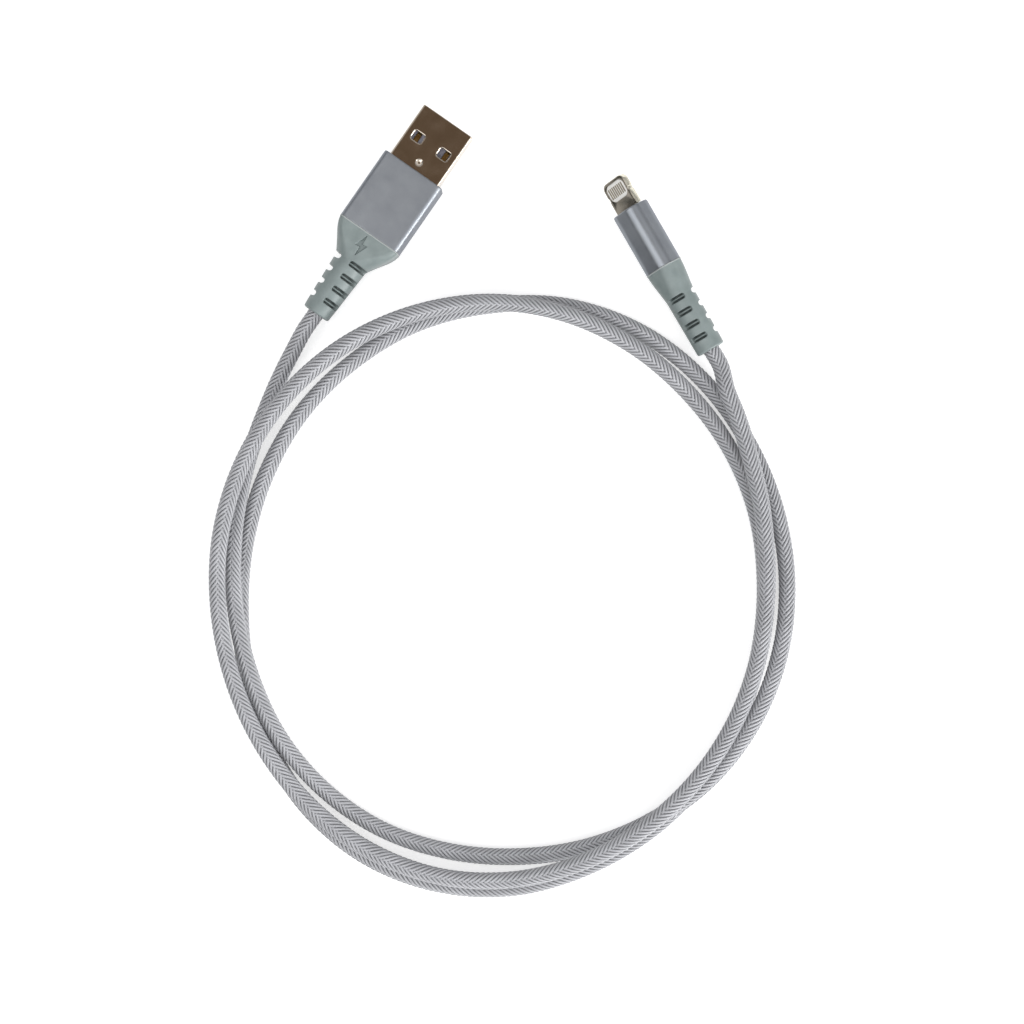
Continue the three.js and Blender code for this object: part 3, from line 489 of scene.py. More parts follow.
def slot_depth(boot, angles, y, outer):
    """How far the slots go in at one distance from the shoulder, at each angle."""
    row = min(max(round((y - SLOT.first) / SLOT.pitch), 0), SLOT.rows - 1)
    off = abs(y - SLOT.first - SLOT.pitch * row)
    half, soft = SLOT.width / 2, SLOT.soft
    if off > half + soft:
        return np.zeros(angles.shape)
    floor_round, end_round = SLOT.floor_round, SLOT.end_round
    rise = max(off - half + floor_round, 0)
    depth = outer - SLOT.core / 2 - floor_round + math.sqrt(max(floor_round ** 2 - rise ** 2, 0))
    depth -= SLOT.ridge * ramp(SLOT.ridge_foot, SLOT.ridge_top, off)
    total = np.zeros(angles.shape)
    for turn in boot.ridged:
        end = (turned_from(angles, turn) - math.radians(boot.span) / 2) * outer
        edge = np.maximum(off - half, end)
        corner = np.hypot(max(off - half + end_round, 0), np.maximum(end + end_round, 0)) - end_round
        edge = np.where((off > half - end_round) & (end > -end_round), corner, edge)
        total = np.maximum(total, depth * ramp(soft, -soft, edge))
    level = boot.open_floor + half - math.sqrt(max(half * half - off * off, 0))
    steepest = 1.4          # radians from the open side, where the level floor has long left the boot
    floor_radius = level / np.cos(np.minimum(turned_from(angles, boot.open), steepest))
    return np.maximum(total, np.maximum(outer - floor_radius, 0) * ramp(soft, -soft, off - half))


def boot_mesh(sleeve, boot):
    """Points and faces of a moulded boot, y from its shoulder towards its plug's tip, and how much painted
    shade each point gets deep in a ridged slot."""
    angles = np.arange(BOOT_COLUMNS) * 2 * math.pi / BOOT_COLUMNS
    flare_y, flare_share = zip(*FLARE)

    def outside(distance):
        """The plain outer surface at a distance from the shoulder."""
        if distance < NECK_START:
            fine = np.linspace(distance - FLARE_SOFT, distance + FLARE_SOFT, 11)
            share = float(np.mean(np.interp(fine, flare_y, flare_share)))
            sizes = (start + (neck - start) * share for start, neck in (
                (sleeve.width, boot.neck), (sleeve.height, boot.neck), (sleeve.corner, boot.neck / 2)))
            return polar_radius(*sizes, angles)
        run = (distance - NECK_START) / (BOOT_LENGTH - NECK_START)
        return np.full(BOOT_COLUMNS, (boot.neck + (boot.end - boot.neck) * run) / 2)

    rows = [(distance, outside(0) + proud) for distance, proud in BEAD]
    slot_rows = sorted({round(SLOT.first + SLOT.pitch * row + step, 4) for row in range(SLOT.rows)
                        for step in (*[-near for near in SLOT_ROWS], *SLOT_ROWS, *PLAIN_ROWS)})
    neck_rows = [distance for distance in slot_rows if NECK_START <= distance < LAST_ROW]
    for distance in (*FLARE_ROWS, *neck_rows):
        radius = outside(distance)
        if boot.sign:
            x, z = radius * np.cos(angles), radius * np.sin(angles)
            gap = outside_distance(x - SIGN_PLACE[0], -distance - SIGN_PLACE[1], SIGN)
            pressed = np.where(z > 0, ramp(SIGN_SOFT, -SIGN_SOFT, gap) * SIGN_DEPTH, 0)
            radius = radius - pressed * np.sin(angles)
        rows.append((distance, radius - slot_depth(boot, angles, distance, float(radius.mean()))))

    # Round the end and back through the bore to the spigot, with a close row beside each edge.
    end, mouth, bore = boot.end / 2, CORD_DIAMETER / 2 + BRAID_ROOM, CORE_BORE / 2
    braid_end = BOOT_LENGTH - INSIDE_BOOT
    profile = [*arc(end - LIP, BOOT_LENGTH - LIP, LIP, 0, 90, 6),
               *arc(mouth + MOUTH_EDGE, BOOT_LENGTH - MOUTH_EDGE, MOUTH_EDGE, 90, 180, 3),
               (mouth, braid_end - 0.2), (bore + 0.02, braid_end - 0.3), (bore, braid_end - 0.6),
               (bore, -SPIGOT + 0.1), (bore + 0.05, -SPIGOT)]
    rows += [(distance, np.full(BOOT_COLUMNS, radius)) for radius, distance in profile]
    inward = 2 * (SLEEVE_WALL + FIT)
    spigot = polar_radius(sleeve.width - inward, sleeve.height - inward,
                          sleeve.corner - SLEEVE_WALL - FIT, angles)
    rows += [(-SPIGOT, spigot - 0.1), (-SPIGOT + 0.1, spigot), (0.0, spigot), (0.1, spigot - 0.02)]

    points = [(r * c, -distance, r * s) for distance, radius in rows
              for r, c, s in zip(radius, np.cos(angles), np.sin(angles))]
    ridged = turned_from(angles, boot.open) > OPEN_REACH
    # Painted shade: the deeper a point lies in a ridged slot, the darker its colour.
    slot_shade = []
    for distance, radius in rows:
        plain = outside(max(distance, NECK_START))
        share = np.where(distance > NECK_START - 1, (plain - radius) / (plain - SLOT.core / 2), 0)
        slot_shade += list(np.where(ridged, ramp(SHADE_FROM, 1, share), 0))
    return points, ring_faces(BOOT_COLUMNS, len(rows), closed=True), slot_shade


def make_boot(name, sleeve, boot, shoulder):
    """A boot in its place, with a painted highlight along its seam and painted shade in its slots marked.
    What would reach below the table's top is pressed flat."""
    points, faces, slot_shade = boot_mesh(sleeve, boot)
    piece = add_piece(name, (points, faces), shoulder, "boot_elastomer")
    # A painted highlight along the seam ("pale") and painted shade in the ridged slots ("deep").
    mark(piece, "pale", [float(-BEAD_HIGHLIGHT < y < 0) for x, y, z in points])
    mark(piece, "deep", slot_shade)
    for vertex in piece.data.vertices:
        vertex.co.z = max(vertex.co.z, 0)
    return piece


charger_boot = make_boot("charger_boot_moulded", CHARGER_SLEEVE, CHARGER_BOOT,
                         charger_place @ Matrix.Translation((0, CHARGER_REAR, 0)))
phone_boot = make_boot("phone_boot_moulded", PHONE_SLEEVE, PHONE_BOOT,
                       phone_place @ Matrix.Translation((0, PHONE_REAR, 0)))


# ---------- flat pieces with rounded edges ----------

CREASE = math.radians(50)   # a flat piece's edge that turns more than this stays sharp
SHARPEST = 0.35             # a corner's point moves in by no more than its edges' distance over this


def rounded_outline(width, length, corner, middle, steps=12):
    """A rounded rectangle's corners, drawn on a plug's face round (0, middle)."""
    x, y = width / 2 - corner, length / 2 - corner
    return [point for sx, sy, start in QUARTERS
            for point in arc(sx * x, middle + sy * y, corner, start, start + 90, steps)]


def moved_in(outline, distance):
    """A closed outline, counter-clockwise, moved in by a distance."""
    count = len(outline)
    moved = []
    for k in range(count):
        before, here, after = (Vector(outline[(k + step) % count]) for step in (-1, 0, 1))
        into, out = (here - before).normalized(), (after - here).normalized()
        bisector = Vector((-(into.y + out.y), into.x + out.x)).normalized()
        stretch = max(bisector.dot(Vector((-into.y, into.x))), SHARPEST)
        moved.append(tuple(here + bisector * distance / stretch))
    return moved


def plate_mesh(outline, half, edge, steps, hole=None):
    """Points and faces of a plate with rounded edges: its outline is drawn on the plug's face, it is
    half a thickness up and down from its middle, and it may have one hole."""
    points, faces = [], []

    def wall(shape, rounding, steps, outward):
        """One wall with rounded edges. Returns the numbers of its lowest and its highest points."""
        profile = [(rounding - rounding * math.cos(a), -half + rounding - rounding * math.sin(a))
                   for a in np.linspace(math.pi / 2, 0, steps + 1)]
        profile += [(inset, -z) for inset, z in profile[::-1]]
        start, count = len(points), len(shape)
        for inset, z in profile:
            points.extend((x, y, z) for x, y in moved_in(shape, inset if outward else -inset))
        faces.extend(face if outward else face[::-1] for face in ring_faces(count, len(profile), start))
        return range(start, start + count), range(len(points) - count, len(points))

    walls = [wall(outline, edge, steps, True)]
    if hole:
        walls.append(wall(hole, TAB.opening_edge, 2, False))
    for rings, up in zip(zip(*walls), (False, True)):
        order = [index for ring in rings for index in ring]
        flat = [[Vector((*points[index][:2], 0)) for index in ring] for ring in rings]
        for face in tessellate_polygon(flat):
            face = [order[corner] for corner in face]
            a, b, c = (Vector(points[index][:2]) for index in face)
            if ((b - a).cross(c - a) > 0) != up:
                face.reverse()
            faces.append(tuple(face))
    return points, faces


def tab_outline():
    """The phone tab from above, counter-clockwise: round front corners, a notch in each side and a
    narrower shank."""
    half, shank = TAB.width / 2, TAB.shank / 2
    step = PHONE_FRONT + FIT
    reach = math.degrees(math.acos((NOTCH.radius - NOTCH.depth) / NOTCH.radius))
    right = [(shank, PHONE_FRONT - TAB.buried), (shank, step), (half, step),
             *arc(half + NOTCH.radius - NOTCH.depth, PHONE_TIP - NOTCH.from_tip, NOTCH.radius,
                  180 + reach, 180 - reach, 14),
             *arc(half - TAB.front, PHONE_TIP - TAB.front, TAB.front, 0, 90, 16)]
    return right + [(-x, y) for x, y in right[::-1]]


half_tab = TAB.thickness / 2
block_middle = PHONE_TIP - BLOCK.from_tip - BLOCK.length / 2
opening = rounded_outline(BLOCK.width + 2 * BLOCK.gap, BLOCK.length + 2 * BLOCK.gap,
                          BLOCK.corner + BLOCK.gap, block_middle)
plate = plate_mesh(tab_outline(), half_tab, TAB.edge, 7, opening)
phone_tab = add_piece("phone_tab_machined", plate, phone_place, "tab_nickel")
# A painted reflection makes the sides paler, from a little below each face.
mark(phone_tab, "pale", [float(ramp(half_tab, half_tab - TAB.ground, abs(z))) for x, y, z in plate[0]])
phone_tab.data.set_sharp_from_angle(angle=CREASE)

plate = plate_mesh(rounded_outline(BLOCK.width, BLOCK.length, BLOCK.corner, block_middle),
                   half_tab - BLOCK.sunk, BLOCK.edge, 3)
phone_block = add_piece("phone_block_moulded", plate, phone_place, "block_plastic")
phone_block.data.set_sharp_from_angle(angle=CREASE)


# ---------- the phone plug's contacts ----------

def start_tree(name, inputs, output):
    """A Geometry Nodes tree with these inputs and one geometry output. Returns it with a function that
    adds nodes to it and what its inputs are given."""
    tree = bpy.data.node_groups.new(name, "GeometryNodeTree")
    for socket, kind in inputs.items():
        tree.interface.new_socket(socket, in_out="INPUT", socket_type="NodeSocket" + kind)
    tree.interface.new_socket(output, in_out="OUTPUT", socket_type="NodeSocketGeometry")
    add = partial(add_node, tree)
    return tree, add, add("NodeGroupInput").outputs


def end_tree(add, geometry, given):
    """Makes plain geometry with its finish the tree's output."""
    solid = add("GeometryNodeRealizeInstances", {"Geometry": geometry})
    finished = add("GeometryNodeSetMaterial", {"Geometry": solid, "Material": given["Material"]})
    add("NodeGroupOutput", {0: finished})


def contact_row_tree():
    """A row of flat pads: as many as asked for, a pitch apart along x, each of the given size."""
    tree, add, given = start_tree("contact_row", {
        "Count": "Int", "Pitch": "Float", "Pad size": "Vector", "Material": "Material"}, "Pads")
    between = add(COMBINE, {"X": given["Pitch"]})
    gaps = add(MATH, {"operation": "SUBTRACT", 0: given["Count"], 1: 1.0})
    reach = add(MATH, {"operation": "MULTIPLY", 0: gaps, 1: given["Pitch"]})
    half = add(MATH, {"operation": "MULTIPLY", 0: reach, 1: -0.5})
    start = add(COMBINE, {"X": half})
    row = add("GeometryNodeMeshLine", {
        "mode": "OFFSET", "Count": given["Count"], "Start Location": start, "Offset": between})
    pad = add("GeometryNodeMeshCube", {"Size": given["Pad size"]})
    pads = add("GeometryNodeInstanceOnPoints", {"Points": row, "Instance": pad})
    end_tree(add, pads, given)
    return tree


def set_inputs(modifier, values):
    """Sets a Geometry Nodes modifier's inputs, found by name, through their identifiers."""
    for item in modifier.node_group.interface.items_tree:
        if item.item_type == "SOCKET" and item.in_out == "INPUT" and item.name in values:
            modifier[item.identifier] = values[item.name]


def contact_row(name, tree, side):
    """One face's eight contacts, a little proud of the block."""
    piece = add_piece(name, ([], []), Matrix.Identity(4), "pale_contact")
    row = piece.modifiers.new("row", "NODES")
    row.node_group = tree
    set_inputs(row, {
        "Count": CONTACT.count, "Pitch": CONTACT.pitch, "Material": finishes["pale_contact"],
        "Pad size": (CONTACT.width, CONTACT.length, CONTACT.thickness)})
    bevel = piece.modifiers.new("soft_edges", "BEVEL")
    bevel.width, bevel.segments = CONTACT.edge, 2
    apply_modifiers(piece)
    high = half_tab - CONTACT.thickness / 2
    piece.data.transform(phone_place @ Matrix.Translation((0, block_middle, side * high)))
    return piece


row_tree = contact_row_tree()
contacts_top = contact_row("phone_contacts_top", row_tree, 1)
contacts_bottom = contact_row("phone_contacts_bottom", row_tree, -1)


# ---------- the charger plug's shell ----------

def cut_away(piece, solid):
    """Cuts a solid, given in the piece's own millimetres, out of the piece."""
    cutter = add_piece("cutter", solid, Matrix.Identity(4), "plug_nickel")
    boolean = piece.modifiers.new("cut", "BOOLEAN")
    boolean.operation, boolean.solver, boolean.object = "DIFFERENCE", "EXACT", cutter
    apply_modifiers(piece)
    bpy.data.objects.remove(cutter)


def stack(rings):
    """Points and faces of a solid through level rings, from the lowest up, counter-clockwise."""
    count = len(rings[0])
    points = [point for ring in rings for point in ring]
    bottom, top = tuple(range(count))[::-1], tuple(range(len(points) - count, len(points)))
    return points, ring_faces(count, len(rings)) + [bottom, top]


def window_cutter(side):
    """A window through both faces of the shell, with a chamfer round it that catches the light."""
    half, deep, past = SHELL.height / 2, WINDOW.chamfer_depth, 0.1
    wider = WINDOW.chamfer * (deep + past) / deep
    rings = []
    for z, more in ((-half - past, wider), (-half + deep, 0), (half - deep, 0), (half + past, wider)):
        outline = rounded_outline(WINDOW.width + 2 * more, WINDOW.length + 2 * more,
                                  WINDOW.corner + more, CHARGER_TIP - WINDOW.from_tip, 8)
        rings.append([(x + side * WINDOW.spread / 2, y, z) for x, y in outline])
    return stack(rings)


def dimple_cutter():
    """A pressed pit with a round wall and a flat floor."""
    top, radius, middle = SHELL.height / 2, DIMPLE.diameter / 2, CHARGER_TIP - DIMPLE.from_tip
    # From the floor up and past the shell's face: shares of the pit's radius and of its depth.
    profile = [(0.02, -1.0), (0.4, -1.0), (0.6, -0.78), (0.8, -0.4), (0.92, -0.1), (1.0, 0.3)]
    return stack([[(share * radius * math.cos(a), middle + share * radius * math.sin(a),
                    top + level * DIMPLE.depth) for a in np.arange(48) * 2 * math.pi / 48]
                  for share, level in profile])


def seam_cutter():
    """The fold's seam, along the middle of the shell's underside and past both its ends."""
    half, past_tip = SEAM_WIDTH / 2, 40.0
    outline = [(-half, 0.0), (half, 0.0), (half, past_tip), (-half, past_tip)]
    return stack([[(x, y, z) for x, y in outline] for z in (-SHELL.height, 0.0)])


def make_shell():
    """The folded steel shell: a window pair through both sides, a pressed dimple and the fold's seam."""
    solid = tube(SHELL, CHARGER_TIP, CHARGER_FRONT - SHELL.buried, SHELL.wall, *[SHELL.rim] * 3)
    shell = add_piece("charger_shell_folded", solid, Matrix.Identity(4), "plug_nickel")
    for cutter in (window_cutter(-1), window_cutter(1), dimple_cutter(), seam_cutter()):
        cut_away(shell, cutter)
    bevel = shell.modifiers.new("worn_edges", "BEVEL")
    bevel.limit_method, bevel.angle_limit = "ANGLE", math.radians(22)
    bevel.width, bevel.segments = SHELL.worn, 2
    apply_modifiers(shell)
    shell.data.transform(charger_place)
    weld(shell.data)
    shell.modifiers.new("even_shading", "WEIGHTED_NORMAL").keep_sharp = True
    apply_modifiers(shell)
    return shell


charger_shell = make_shell()


# ---------- the cord ----------

def clock_point(clock, radius, layer):
    """A station of the route, at a turn in degrees and a distance from the loops' centre."""
    angle = math.radians(clock)
    return (LOOP_CENTRE[0] + radius * math.cos(angle), LOOP_CENTRE[1] + radius * math.sin(angle),
            TABLE_GAP + CORD_DIAMETER / 2 + layer * (CORD_DIAMETER + STRAND_GAP))


def cord_route():
    """The cord's centreline in millimetres, from inside one boot to inside the other, by short steps: a
    smooth curve through the route's stations, which swings no wider where they are unevenly spaced."""
    out = np.array((-math.cos(PHONE_HEADING), -math.sin(PHONE_HEADING), 0.0))
    phone_exit = np.array((PHONE_END.x, PHONE_END.y, PHONE_AXIS))
    stations = [(0, CHARGER_END + INSIDE_BOOT, CHARGER_AXIS), (0, CHARGER_END, CHARGER_AXIS),
                (0, CHARGER_END - STRAIGHT, CHARGER_AXIS)]
    stations += [clock_point(*station) for station in CHARGER_LEAD]
    stations += [clock_point(LOOP_START + LOOP_STEP * k, *station)
                 for k, station in enumerate(LOOP_STATIONS)]
    stations += [clock_point(*station) for station in PHONE_LEAD]
    stations += [phone_exit + STRAIGHT * out, phone_exit, phone_exit - INSIDE_BOOT * out]
    stations = np.array(stations, float)
    stations = np.vstack((2 * stations[0] - stations[1], stations, 2 * stations[-1] - stations[-2]))
    route = []
    for p0, p1, p2, p3 in zip(stations, stations[1:], stations[2:], stations[3:]):
        d0, d1, d2 = (np.linalg.norm(b - a) ** 0.5 for a, b in ((p0, p1), (p1, p2), (p2, p3)))
        t1 = ((p1 - p0) / d0 - (p2 - p0) / (d0 + d1) + (p2 - p1) / d1) * d1
        t2 = ((p2 - p1) / d1 - (p3 - p1) / (d1 + d2) + (p3 - p2) / d2) * d1
        count = max(int(np.linalg.norm(p2 - p1) / ROUTE_STEP), 2)
        for t in np.linspace(0, 1, count, endpoint=False):
            route.append(p1 + t1 * t + (-3 * p1 + 3 * p2 - 2 * t1 - t2) * t * t
                         + (2 * p1 - 2 * p2 + t1 + t2) * t ** 3)
    route.append(stations[-2])
    route = np.array(route)
    route[:, 2] = np.maximum(route[:, 2], CORD_DIAMETER / 2)
    return route


def braid_tree():
    """One lay of a braid along a curve: yarns that turn round it as it goes, over the other lay in
    every other column and under it between, swept from an oval section."""
    tree, add, given = start_tree("braid_lay", {
        "Route": "Geometry", "Yarns": "Int", "Columns": "Int", "Points along": "Int", "First point": "Int",
        "Turn per point": "Float", "Column edge": "Float", "Drift": "Float", "Drift per point": "Float",
        "Over": "Float", "Middle radius": "Float", "Weave height": "Float", "Yarn width": "Float",
        "Yarn thickness": "Float", "Material": "Material"}, "Braid")
    even = add("GeometryNodeResampleCurve", {
        "mode": "COUNT", "Curve": given["Route"], "Count": given["Points along"]})
    copies = add("GeometryNodeDuplicateElements", {
        "domain": "SPLINE", "Geometry": even, "Amount": given["Yarns"]})

    # The angle round the cord: the yarn's own place, and the turn up to this point of the route.
    place = add(MATH, {"operation": "DIVIDE", 0: 2 * math.pi, 1: given["Yarns"]})
    own = add(MATH, {"operation": "MULTIPLY", 0: copies.outputs["Duplicate Index"], 1: place})
    index = add("GeometryNodeSplineParameter").outputs["Index"]
    point_here = add(MATH, {"operation": "ADD", 0: index, 1: given["First point"]})
    turned = add(MATH, {"operation": "MULTIPLY_ADD", 0: point_here, 1: given["Turn per point"], 2: own})

    # The columns wander a little round the cord, and the yarns with them.
    drift = add(MATH, {"operation": "MULTIPLY", 0: point_here, 1: given["Drift per point"]})
    drift = add(MATH, {"operation": "SINE", 0: drift})
    edge = add(MATH, {"operation": "MULTIPLY_ADD", 0: drift, 1: given["Drift"], 2: given["Column edge"]})
    angle = add(MATH, {"operation": "ADD", 0: edge, 1: turned})

    # Over and under: a wave, made half as high again and cut level, so that each yarn stays over the
    # others through one column and under them through the next.
    waves = add(MATH, {"operation": "DIVIDE", 0: given["Columns"], 1: 2.0})
    weave = add(MATH, {"operation": "MULTIPLY", 0: turned, 1: waves})
    weave = add(MATH, {"operation": "SINE", 0: weave})
    weave = add(MATH, {"operation": "MULTIPLY", 0: weave, 1: 1.5})
    weave = add("ShaderNodeClamp", {"Value": weave, "Min": -1.0, "Max": 1.0})
    weave = add(MATH, {"operation": "MULTIPLY", 0: weave, 1: given["Over"]})
    radius = add(MATH, {
        "operation": "MULTIPLY_ADD", 0: weave, 1: given["Weave height"], 2: given["Middle radius"]})

    # Out from the centreline, square to it.
    tangent = add("GeometryNodeInputTangent")
    side = add(VECTOR_MATH, {"operation": "CROSS_PRODUCT", 0: tangent, 1: (0, 0, 1)})
    side = add(VECTOR_MATH, {"operation": "NORMALIZE", 0: side})
    top = add(VECTOR_MATH, {"operation": "CROSS_PRODUCT", 0: side, 1: tangent})
    cosine = add(MATH, {"operation": "COSINE", 0: angle})
    sine = add(MATH, {"operation": "SINE", 0: angle})
    up = add(VECTOR_MATH, {"operation": "SCALE", 0: top, "Scale": cosine})
    out = add(VECTOR_MATH, {"operation": "SCALE", 0: side, "Scale": sine})
    radial = add(VECTOR_MATH, {"operation": "ADD", 0: up, 1: out})
    kept = add("GeometryNodeCaptureAttribute", {"domain": "POINT", "Geometry": copies})
    kept.capture_items.new("VECTOR", "Radial")
    fill(kept, {"Radial": radial})
    outward = kept.outputs["Radial"]
    offset = add(VECTOR_MATH, {"operation": "SCALE", 0: outward, "Scale": radius})
    woven = add("GeometryNodeSetPosition", {"Geometry": kept, "Offset": offset})
    facing = add("GeometryNodeSetCurveNormal", {"mode": "FREE", "Curve": woven, "Normal": outward})

    # The section: a flat oval, as wide and as thick as one yarn.
    oval = add("GeometryNodeCurvePrimitiveCircle", {"Resolution": YARN_SIDES, "Radius": 0.5})
    size = add(COMBINE, {"X": given["Yarn thickness"], "Y": given["Yarn width"], "Z": 1.0})
    section = add("GeometryNodeTransform", {"Geometry": oval, "Scale": size})
    spot = add("ShaderNodeSeparateXYZ", {0: add("GeometryNodeInputPosition")})
    share = add(MATH, {"operation": "DIVIDE", 0: spot.outputs["Y"], 1: given["Yarn width"]})
    share = add(MATH, {"operation": "ADD", 0: share, 1: 0.5})
    marked = add("GeometryNodeStoreNamedAttribute", {
        "data_type": "FLOAT", "domain": "POINT", "Geometry": section, "Name": "across", "Value": share})
    swept = add("GeometryNodeCurveToMesh", {"Curve": facing, "Profile Curve": marked, "Fill Caps": True})
    end_tree(add, add("GeometryNodeSetShadeSmooth", {"Geometry": swept, "Shade Smooth": True}), given)
    return tree


def guide_curve(name, points):
    """A poly curve in metres through these points in millimetres."""
    curve = bpy.data.curves.new(name, "CURVE")
    curve.dimensions = "3D"
    spline = curve.splines.new("POLY")
    spline.points.add(len(points) - 1)
    spline.points.foreach_set("co", np.hstack((points * MM, np.ones((len(points), 1)))).ravel())
    return add_object(name + "_guide", curve)


def piece_along(guide, name):
    """What a guide curve makes, as a piece with a plain mesh. The guide goes."""
    mesh = plain_mesh(guide)
    bpy.data.objects.remove(guide)
    mesh.name = name
    return add_object(name, mesh)


def braid_piece(name, tree, stretch, first, lay):
    """One lay over one stretch of the route, whose first point has this number on the whole route."""
    guide = guide_curve(name, stretch)
    sweep = guide.modifiers.new("braid", "NODES")
    sweep.node_group = tree
    set_inputs(sweep, {
        "Yarns": YARNS, "Columns": COLUMNS, "Points along": len(stretch), "First point": first,
        "Turn per point": lay * 2 * math.pi / YARNS / STEPS_PER_ROW,
        "Column edge": COLUMN_EDGE, "Drift": DRIFT,
        "Drift per point": 2 * math.pi / DRIFT_LENGTH * ROW_PITCH / STEPS_PER_ROW, "Over": float(lay),
        "Middle radius": (CORD_DIAMETER / 2 - LAY_DEPTH * YARN_THICKNESS) * MM,
        "Weave height": WEAVE_HEIGHT * YARN_THICKNESS * MM,
        "Yarn width": YARN_WIDTH * MM, "Yarn thickness": YARN_THICKNESS * MM,
        "Material": finishes["braid"]})
    return piece_along(guide, name)


def jacket_tube(name, route):
    """The cord's jacket under the braid, closed at both ends, through every fourth point of the route."""
    guide = guide_curve(name, np.vstack((route[:-1:4], route[-1:])))
    guide.data.bevel_depth = JACKET_DIAMETER / 2 * MM
    guide.data.bevel_resolution = (JACKET_SIDES - 4) // 2
    guide.data.use_fill_caps = True
    piece = piece_along(guide, name)
    weld(piece.data)
    piece.data.materials.append(finishes["jacket_plastic"])
    return piece


def resampled(route, spacing):
    """The route at equal steps of about this spacing."""
    travel = np.concatenate(([0], np.cumsum(np.linalg.norm(np.diff(route, axis=0), axis=1))))
    at = np.linspace(0, travel[-1], round(travel[-1] / spacing) + 1)
    return np.column_stack([np.interp(at, travel, route[:, axis]) for axis in range(3)])


route = cord_route()
braid_points = resampled(route, ROW_PITCH / STEPS_PER_ROW)
middle = len(braid_points) // 2
weave = braid_tree()
braids = []
for lay, side in ((1, "right"), (-1, "left")):
    for half, first, last in (("first", 0, middle), ("second", middle, len(braid_points) - 1)):
        braids.append(braid_piece(f"braid_{side}_lay_{half}_half", weave,
                                  braid_points[first:last + 1], first, lay))
jacket = jacket_tube("cord_jacket", route)


# ---------- riding on the frame ----------

hand_over(charger_sleeve, "sleeve_aluminium", "charger_sleeve")
hand_over(charger_boot, "boot_elastomer", "charger_boot")
hand_over(charger_shell, "plug_nickel", "charger_shell")
hand_over(phone_sleeve, "sleeve_aluminium", "phone_sleeve")
hand_over(phone_boot, "boot_elastomer", "phone_boot")
hand_over(phone_tab, "tab_nickel", "phone_tab_frame")
hand_over(phone_block, "block_plastic", "phone_contact_block")
numbers = range(1, CONTACT.count + 1)
hand_over(contacts_top, "contact_gold", *[f"phone_contact_top_{k}" for k in numbers])
hand_over(contacts_bottom, "contact_gold", *[f"phone_contact_bottom_{k}" for k in numbers])
for braid in braids:
    hand_over(braid, "braid")
hand_over(jacket, "jacket_plastic", "cord_charger_lead", "cord_loops", "cord_phone_lead")

for part in frame["record"]["subparts"]:
    node = frame["nodes"][part["node"]]
    node.data.materials.clear()
    node.data.materials.append(finishes[part["material_slot"]])

phone_pieces = [phone_sleeve, phone_boot, phone_tab, phone_block, contacts_top, contacts_bottom]
phone_pieces += [frame["nodes"][name] for name in (
    "phone_collar", "phone_board", "phone_chip", "phone_cord_core", "phone_crimp_ring",
    "phone_wire_red", "phone_wire_white", "phone_wire_green", "phone_wire_black")]

# ---------- camera, floor and light ----------

# The photograph's view: from 450 mm above the cable, straight down.
camera = add_object("camera", bpy.data.cameras.new("camera"))
camera.data.lens, camera.data.sensor_width = 76.04, 36
camera.data.clip_start = 0.01
camera.location = (0.0566, -0.0345, 0.450)
camera.rotation_euler = (0, 0, math.radians(34.8))
bpy.context.scene.camera = camera

TABLE_RADIUS = 0.95
TABLE_SIDES = 64
TABLE_GLOW = 0.6


def floor_material():
    """A pale table. Straight from the camera, and in metal, it glows a little, so that it is white
    there and still holds the cable's shadow."""
    material, add, shader, coordinates = start_material("white_table", {
        "Roughness": 0.8, "Emission Color": (1, 1, 1, 1)})
    tone = add(NOISE, {"Vector": coordinates, "Scale": per_metre(120), "Detail": 1.0})
    colour = add(MIX, {"data_type": "RGBA", 0: tone, 6: linear("#d6d6d6"), 7: linear("#d8d8d8")}).outputs[2]
    ray = add("ShaderNodeLightPath").outputs
    seen = add(MATH, {"operation": "MAXIMUM", 0: ray["Is Camera Ray"], 1: ray["Is Glossy Ray"]})
    seen = add(MATH, {"operation": "MAXIMUM", 0: seen, 1: ray["Is Transmission Ray"]})
    glow = add(MATH, {"operation": "MULTIPLY", 0: seen, 1: TABLE_GLOW})
    fill(shader, {"Base Color": colour, "Emission Strength": glow})
    return material


table_rim = np.arange(TABLE_SIDES) * 2 * math.pi / TABLE_SIDES
floor = add_object("table", bpy.data.meshes.new("table"))
floor.data.from_pydata([(TABLE_RADIUS * math.cos(a), TABLE_RADIUS * math.sin(a), 0) for a in table_rim],
                       [], [tuple(range(TABLE_SIDES))])
floor.data.materials.append(floor_material())

# The softboxes: direction from the middle of the cable as azimuth from +X and elevation, distance,
# width, height and power.
AIM = Vector((0.056, -0.034, 0.0))
SOFTBOXES = [("window", -5, 17, 0.9, 0.6, 0.28, 6.0), ("front", -118, 53, 0.9, 0.5, 1.0, 2.8),
             ("high_right", 0, 45, 0.9, 0.3, 0.3, 0.9), ("low_far", 65, 14, 0.9, 0.4, 0.2, 0.08)]
for name, azimuth, elevation, distance, width, height, power in SOFTBOXES:
    lamp = bpy.data.lights.new(name, "AREA")
    lamp.shape, lamp.size, lamp.size_y, lamp.energy = "RECTANGLE", width, height, power
    holder = add_object(name, lamp)
    a, e = math.radians(azimuth), math.radians(elevation)
    direction = Vector((math.cos(a) * math.cos(e), math.sin(a) * math.cos(e), math.sin(e)))
    holder.location = AIM + direction * distance
    holder.rotation_euler = direction.to_track_quat("Z", "Y").to_euler()
    holder.visible_camera = False


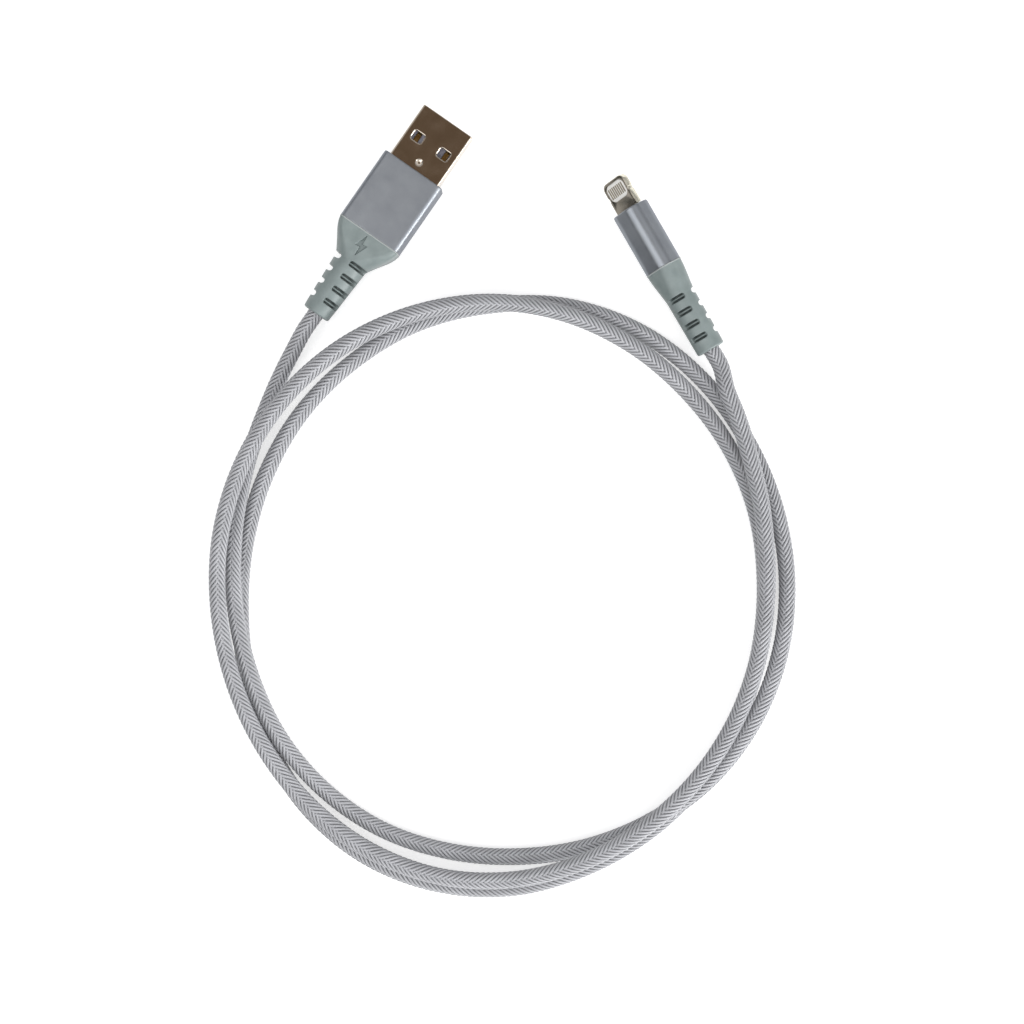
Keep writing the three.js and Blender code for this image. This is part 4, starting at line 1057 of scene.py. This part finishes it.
# The tent round the table: its tones by height, from 0 at the table's level to 1 straight up; the side
# where it is dim; and the dark patch overhead, which fades out between two distances from its middle.
# Angles are in degrees.
TENT = {0.0: "#a4a4a6", 0.5: "#aeaeb0", 0.75: "#f0f0f1", 1.0: "#fafafb"}
NEAR_LEFT = -119
PATCH = Sizes(tilt=9.8, azimuth=137, inner=8, outer=13, tone="#716152")


def studio_world():
    """A pale tent, dim on its near left side, with a dark patch overhead where the camera looks in."""
    world = bpy.data.worlds.new("studio")
    world.use_nodes = True
    add = partial(add_node, world.node_tree)
    direction = add("ShaderNodeTexCoord").outputs["Generated"]
    tent = add("ShaderNodeValToRGB", {0: add("ShaderNodeSeparateXYZ", {0: direction}).outputs["Z"]})
    stops = tent.color_ramp.elements
    stops[0].color, stops[1].color = (linear(TENT[height]) for height in (0.0, 1.0))
    for height in (0.5, 0.75):
        stops.new(height).color = linear(TENT[height])

    turn = math.radians(NEAR_LEFT)
    side = add(VECTOR_MATH, {
        "operation": "DOT_PRODUCT", 0: direction, 1: (math.cos(turn), math.sin(turn), 0)}).outputs["Value"]
    dim = add(RANGE, {"Value": side, "From Min": 0.5, "From Max": 0.85, "To Min": 1.0, "To Max": 0.15})
    room = add(VECTOR_MATH, {"operation": "SCALE", 0: tent, "Scale": dim})

    tilt, turn = math.radians(PATCH.tilt), math.radians(PATCH.azimuth)
    middle = (math.sin(tilt) * math.cos(turn), math.sin(tilt) * math.sin(turn), math.cos(tilt))
    near = add(VECTOR_MATH, {"operation": "DOT_PRODUCT", 0: direction, 1: middle}).outputs["Value"]
    inside = add(RANGE, {
        "Value": near, "From Min": math.cos(math.radians(PATCH.outer)),
        "From Max": math.cos(math.radians(PATCH.inner))})
    room = add(MIX, {"data_type": "RGBA", 0: inside, 6: room, 7: linear(PATCH.tone)}).outputs[2]

    ray = add("ShaderNodeLightPath").outputs["Is Camera Ray"]
    shown = add(MIX, {"data_type": "RGBA", 0: ray, 6: room, 7: (1, 1, 1, 1)}).outputs[2]
    fill(world.node_tree.nodes["Background"], {"Color": shown})
    return world


bpy.context.scene.world = studio_world()
bpy.context.scene.view_settings.view_transform = "Standard"
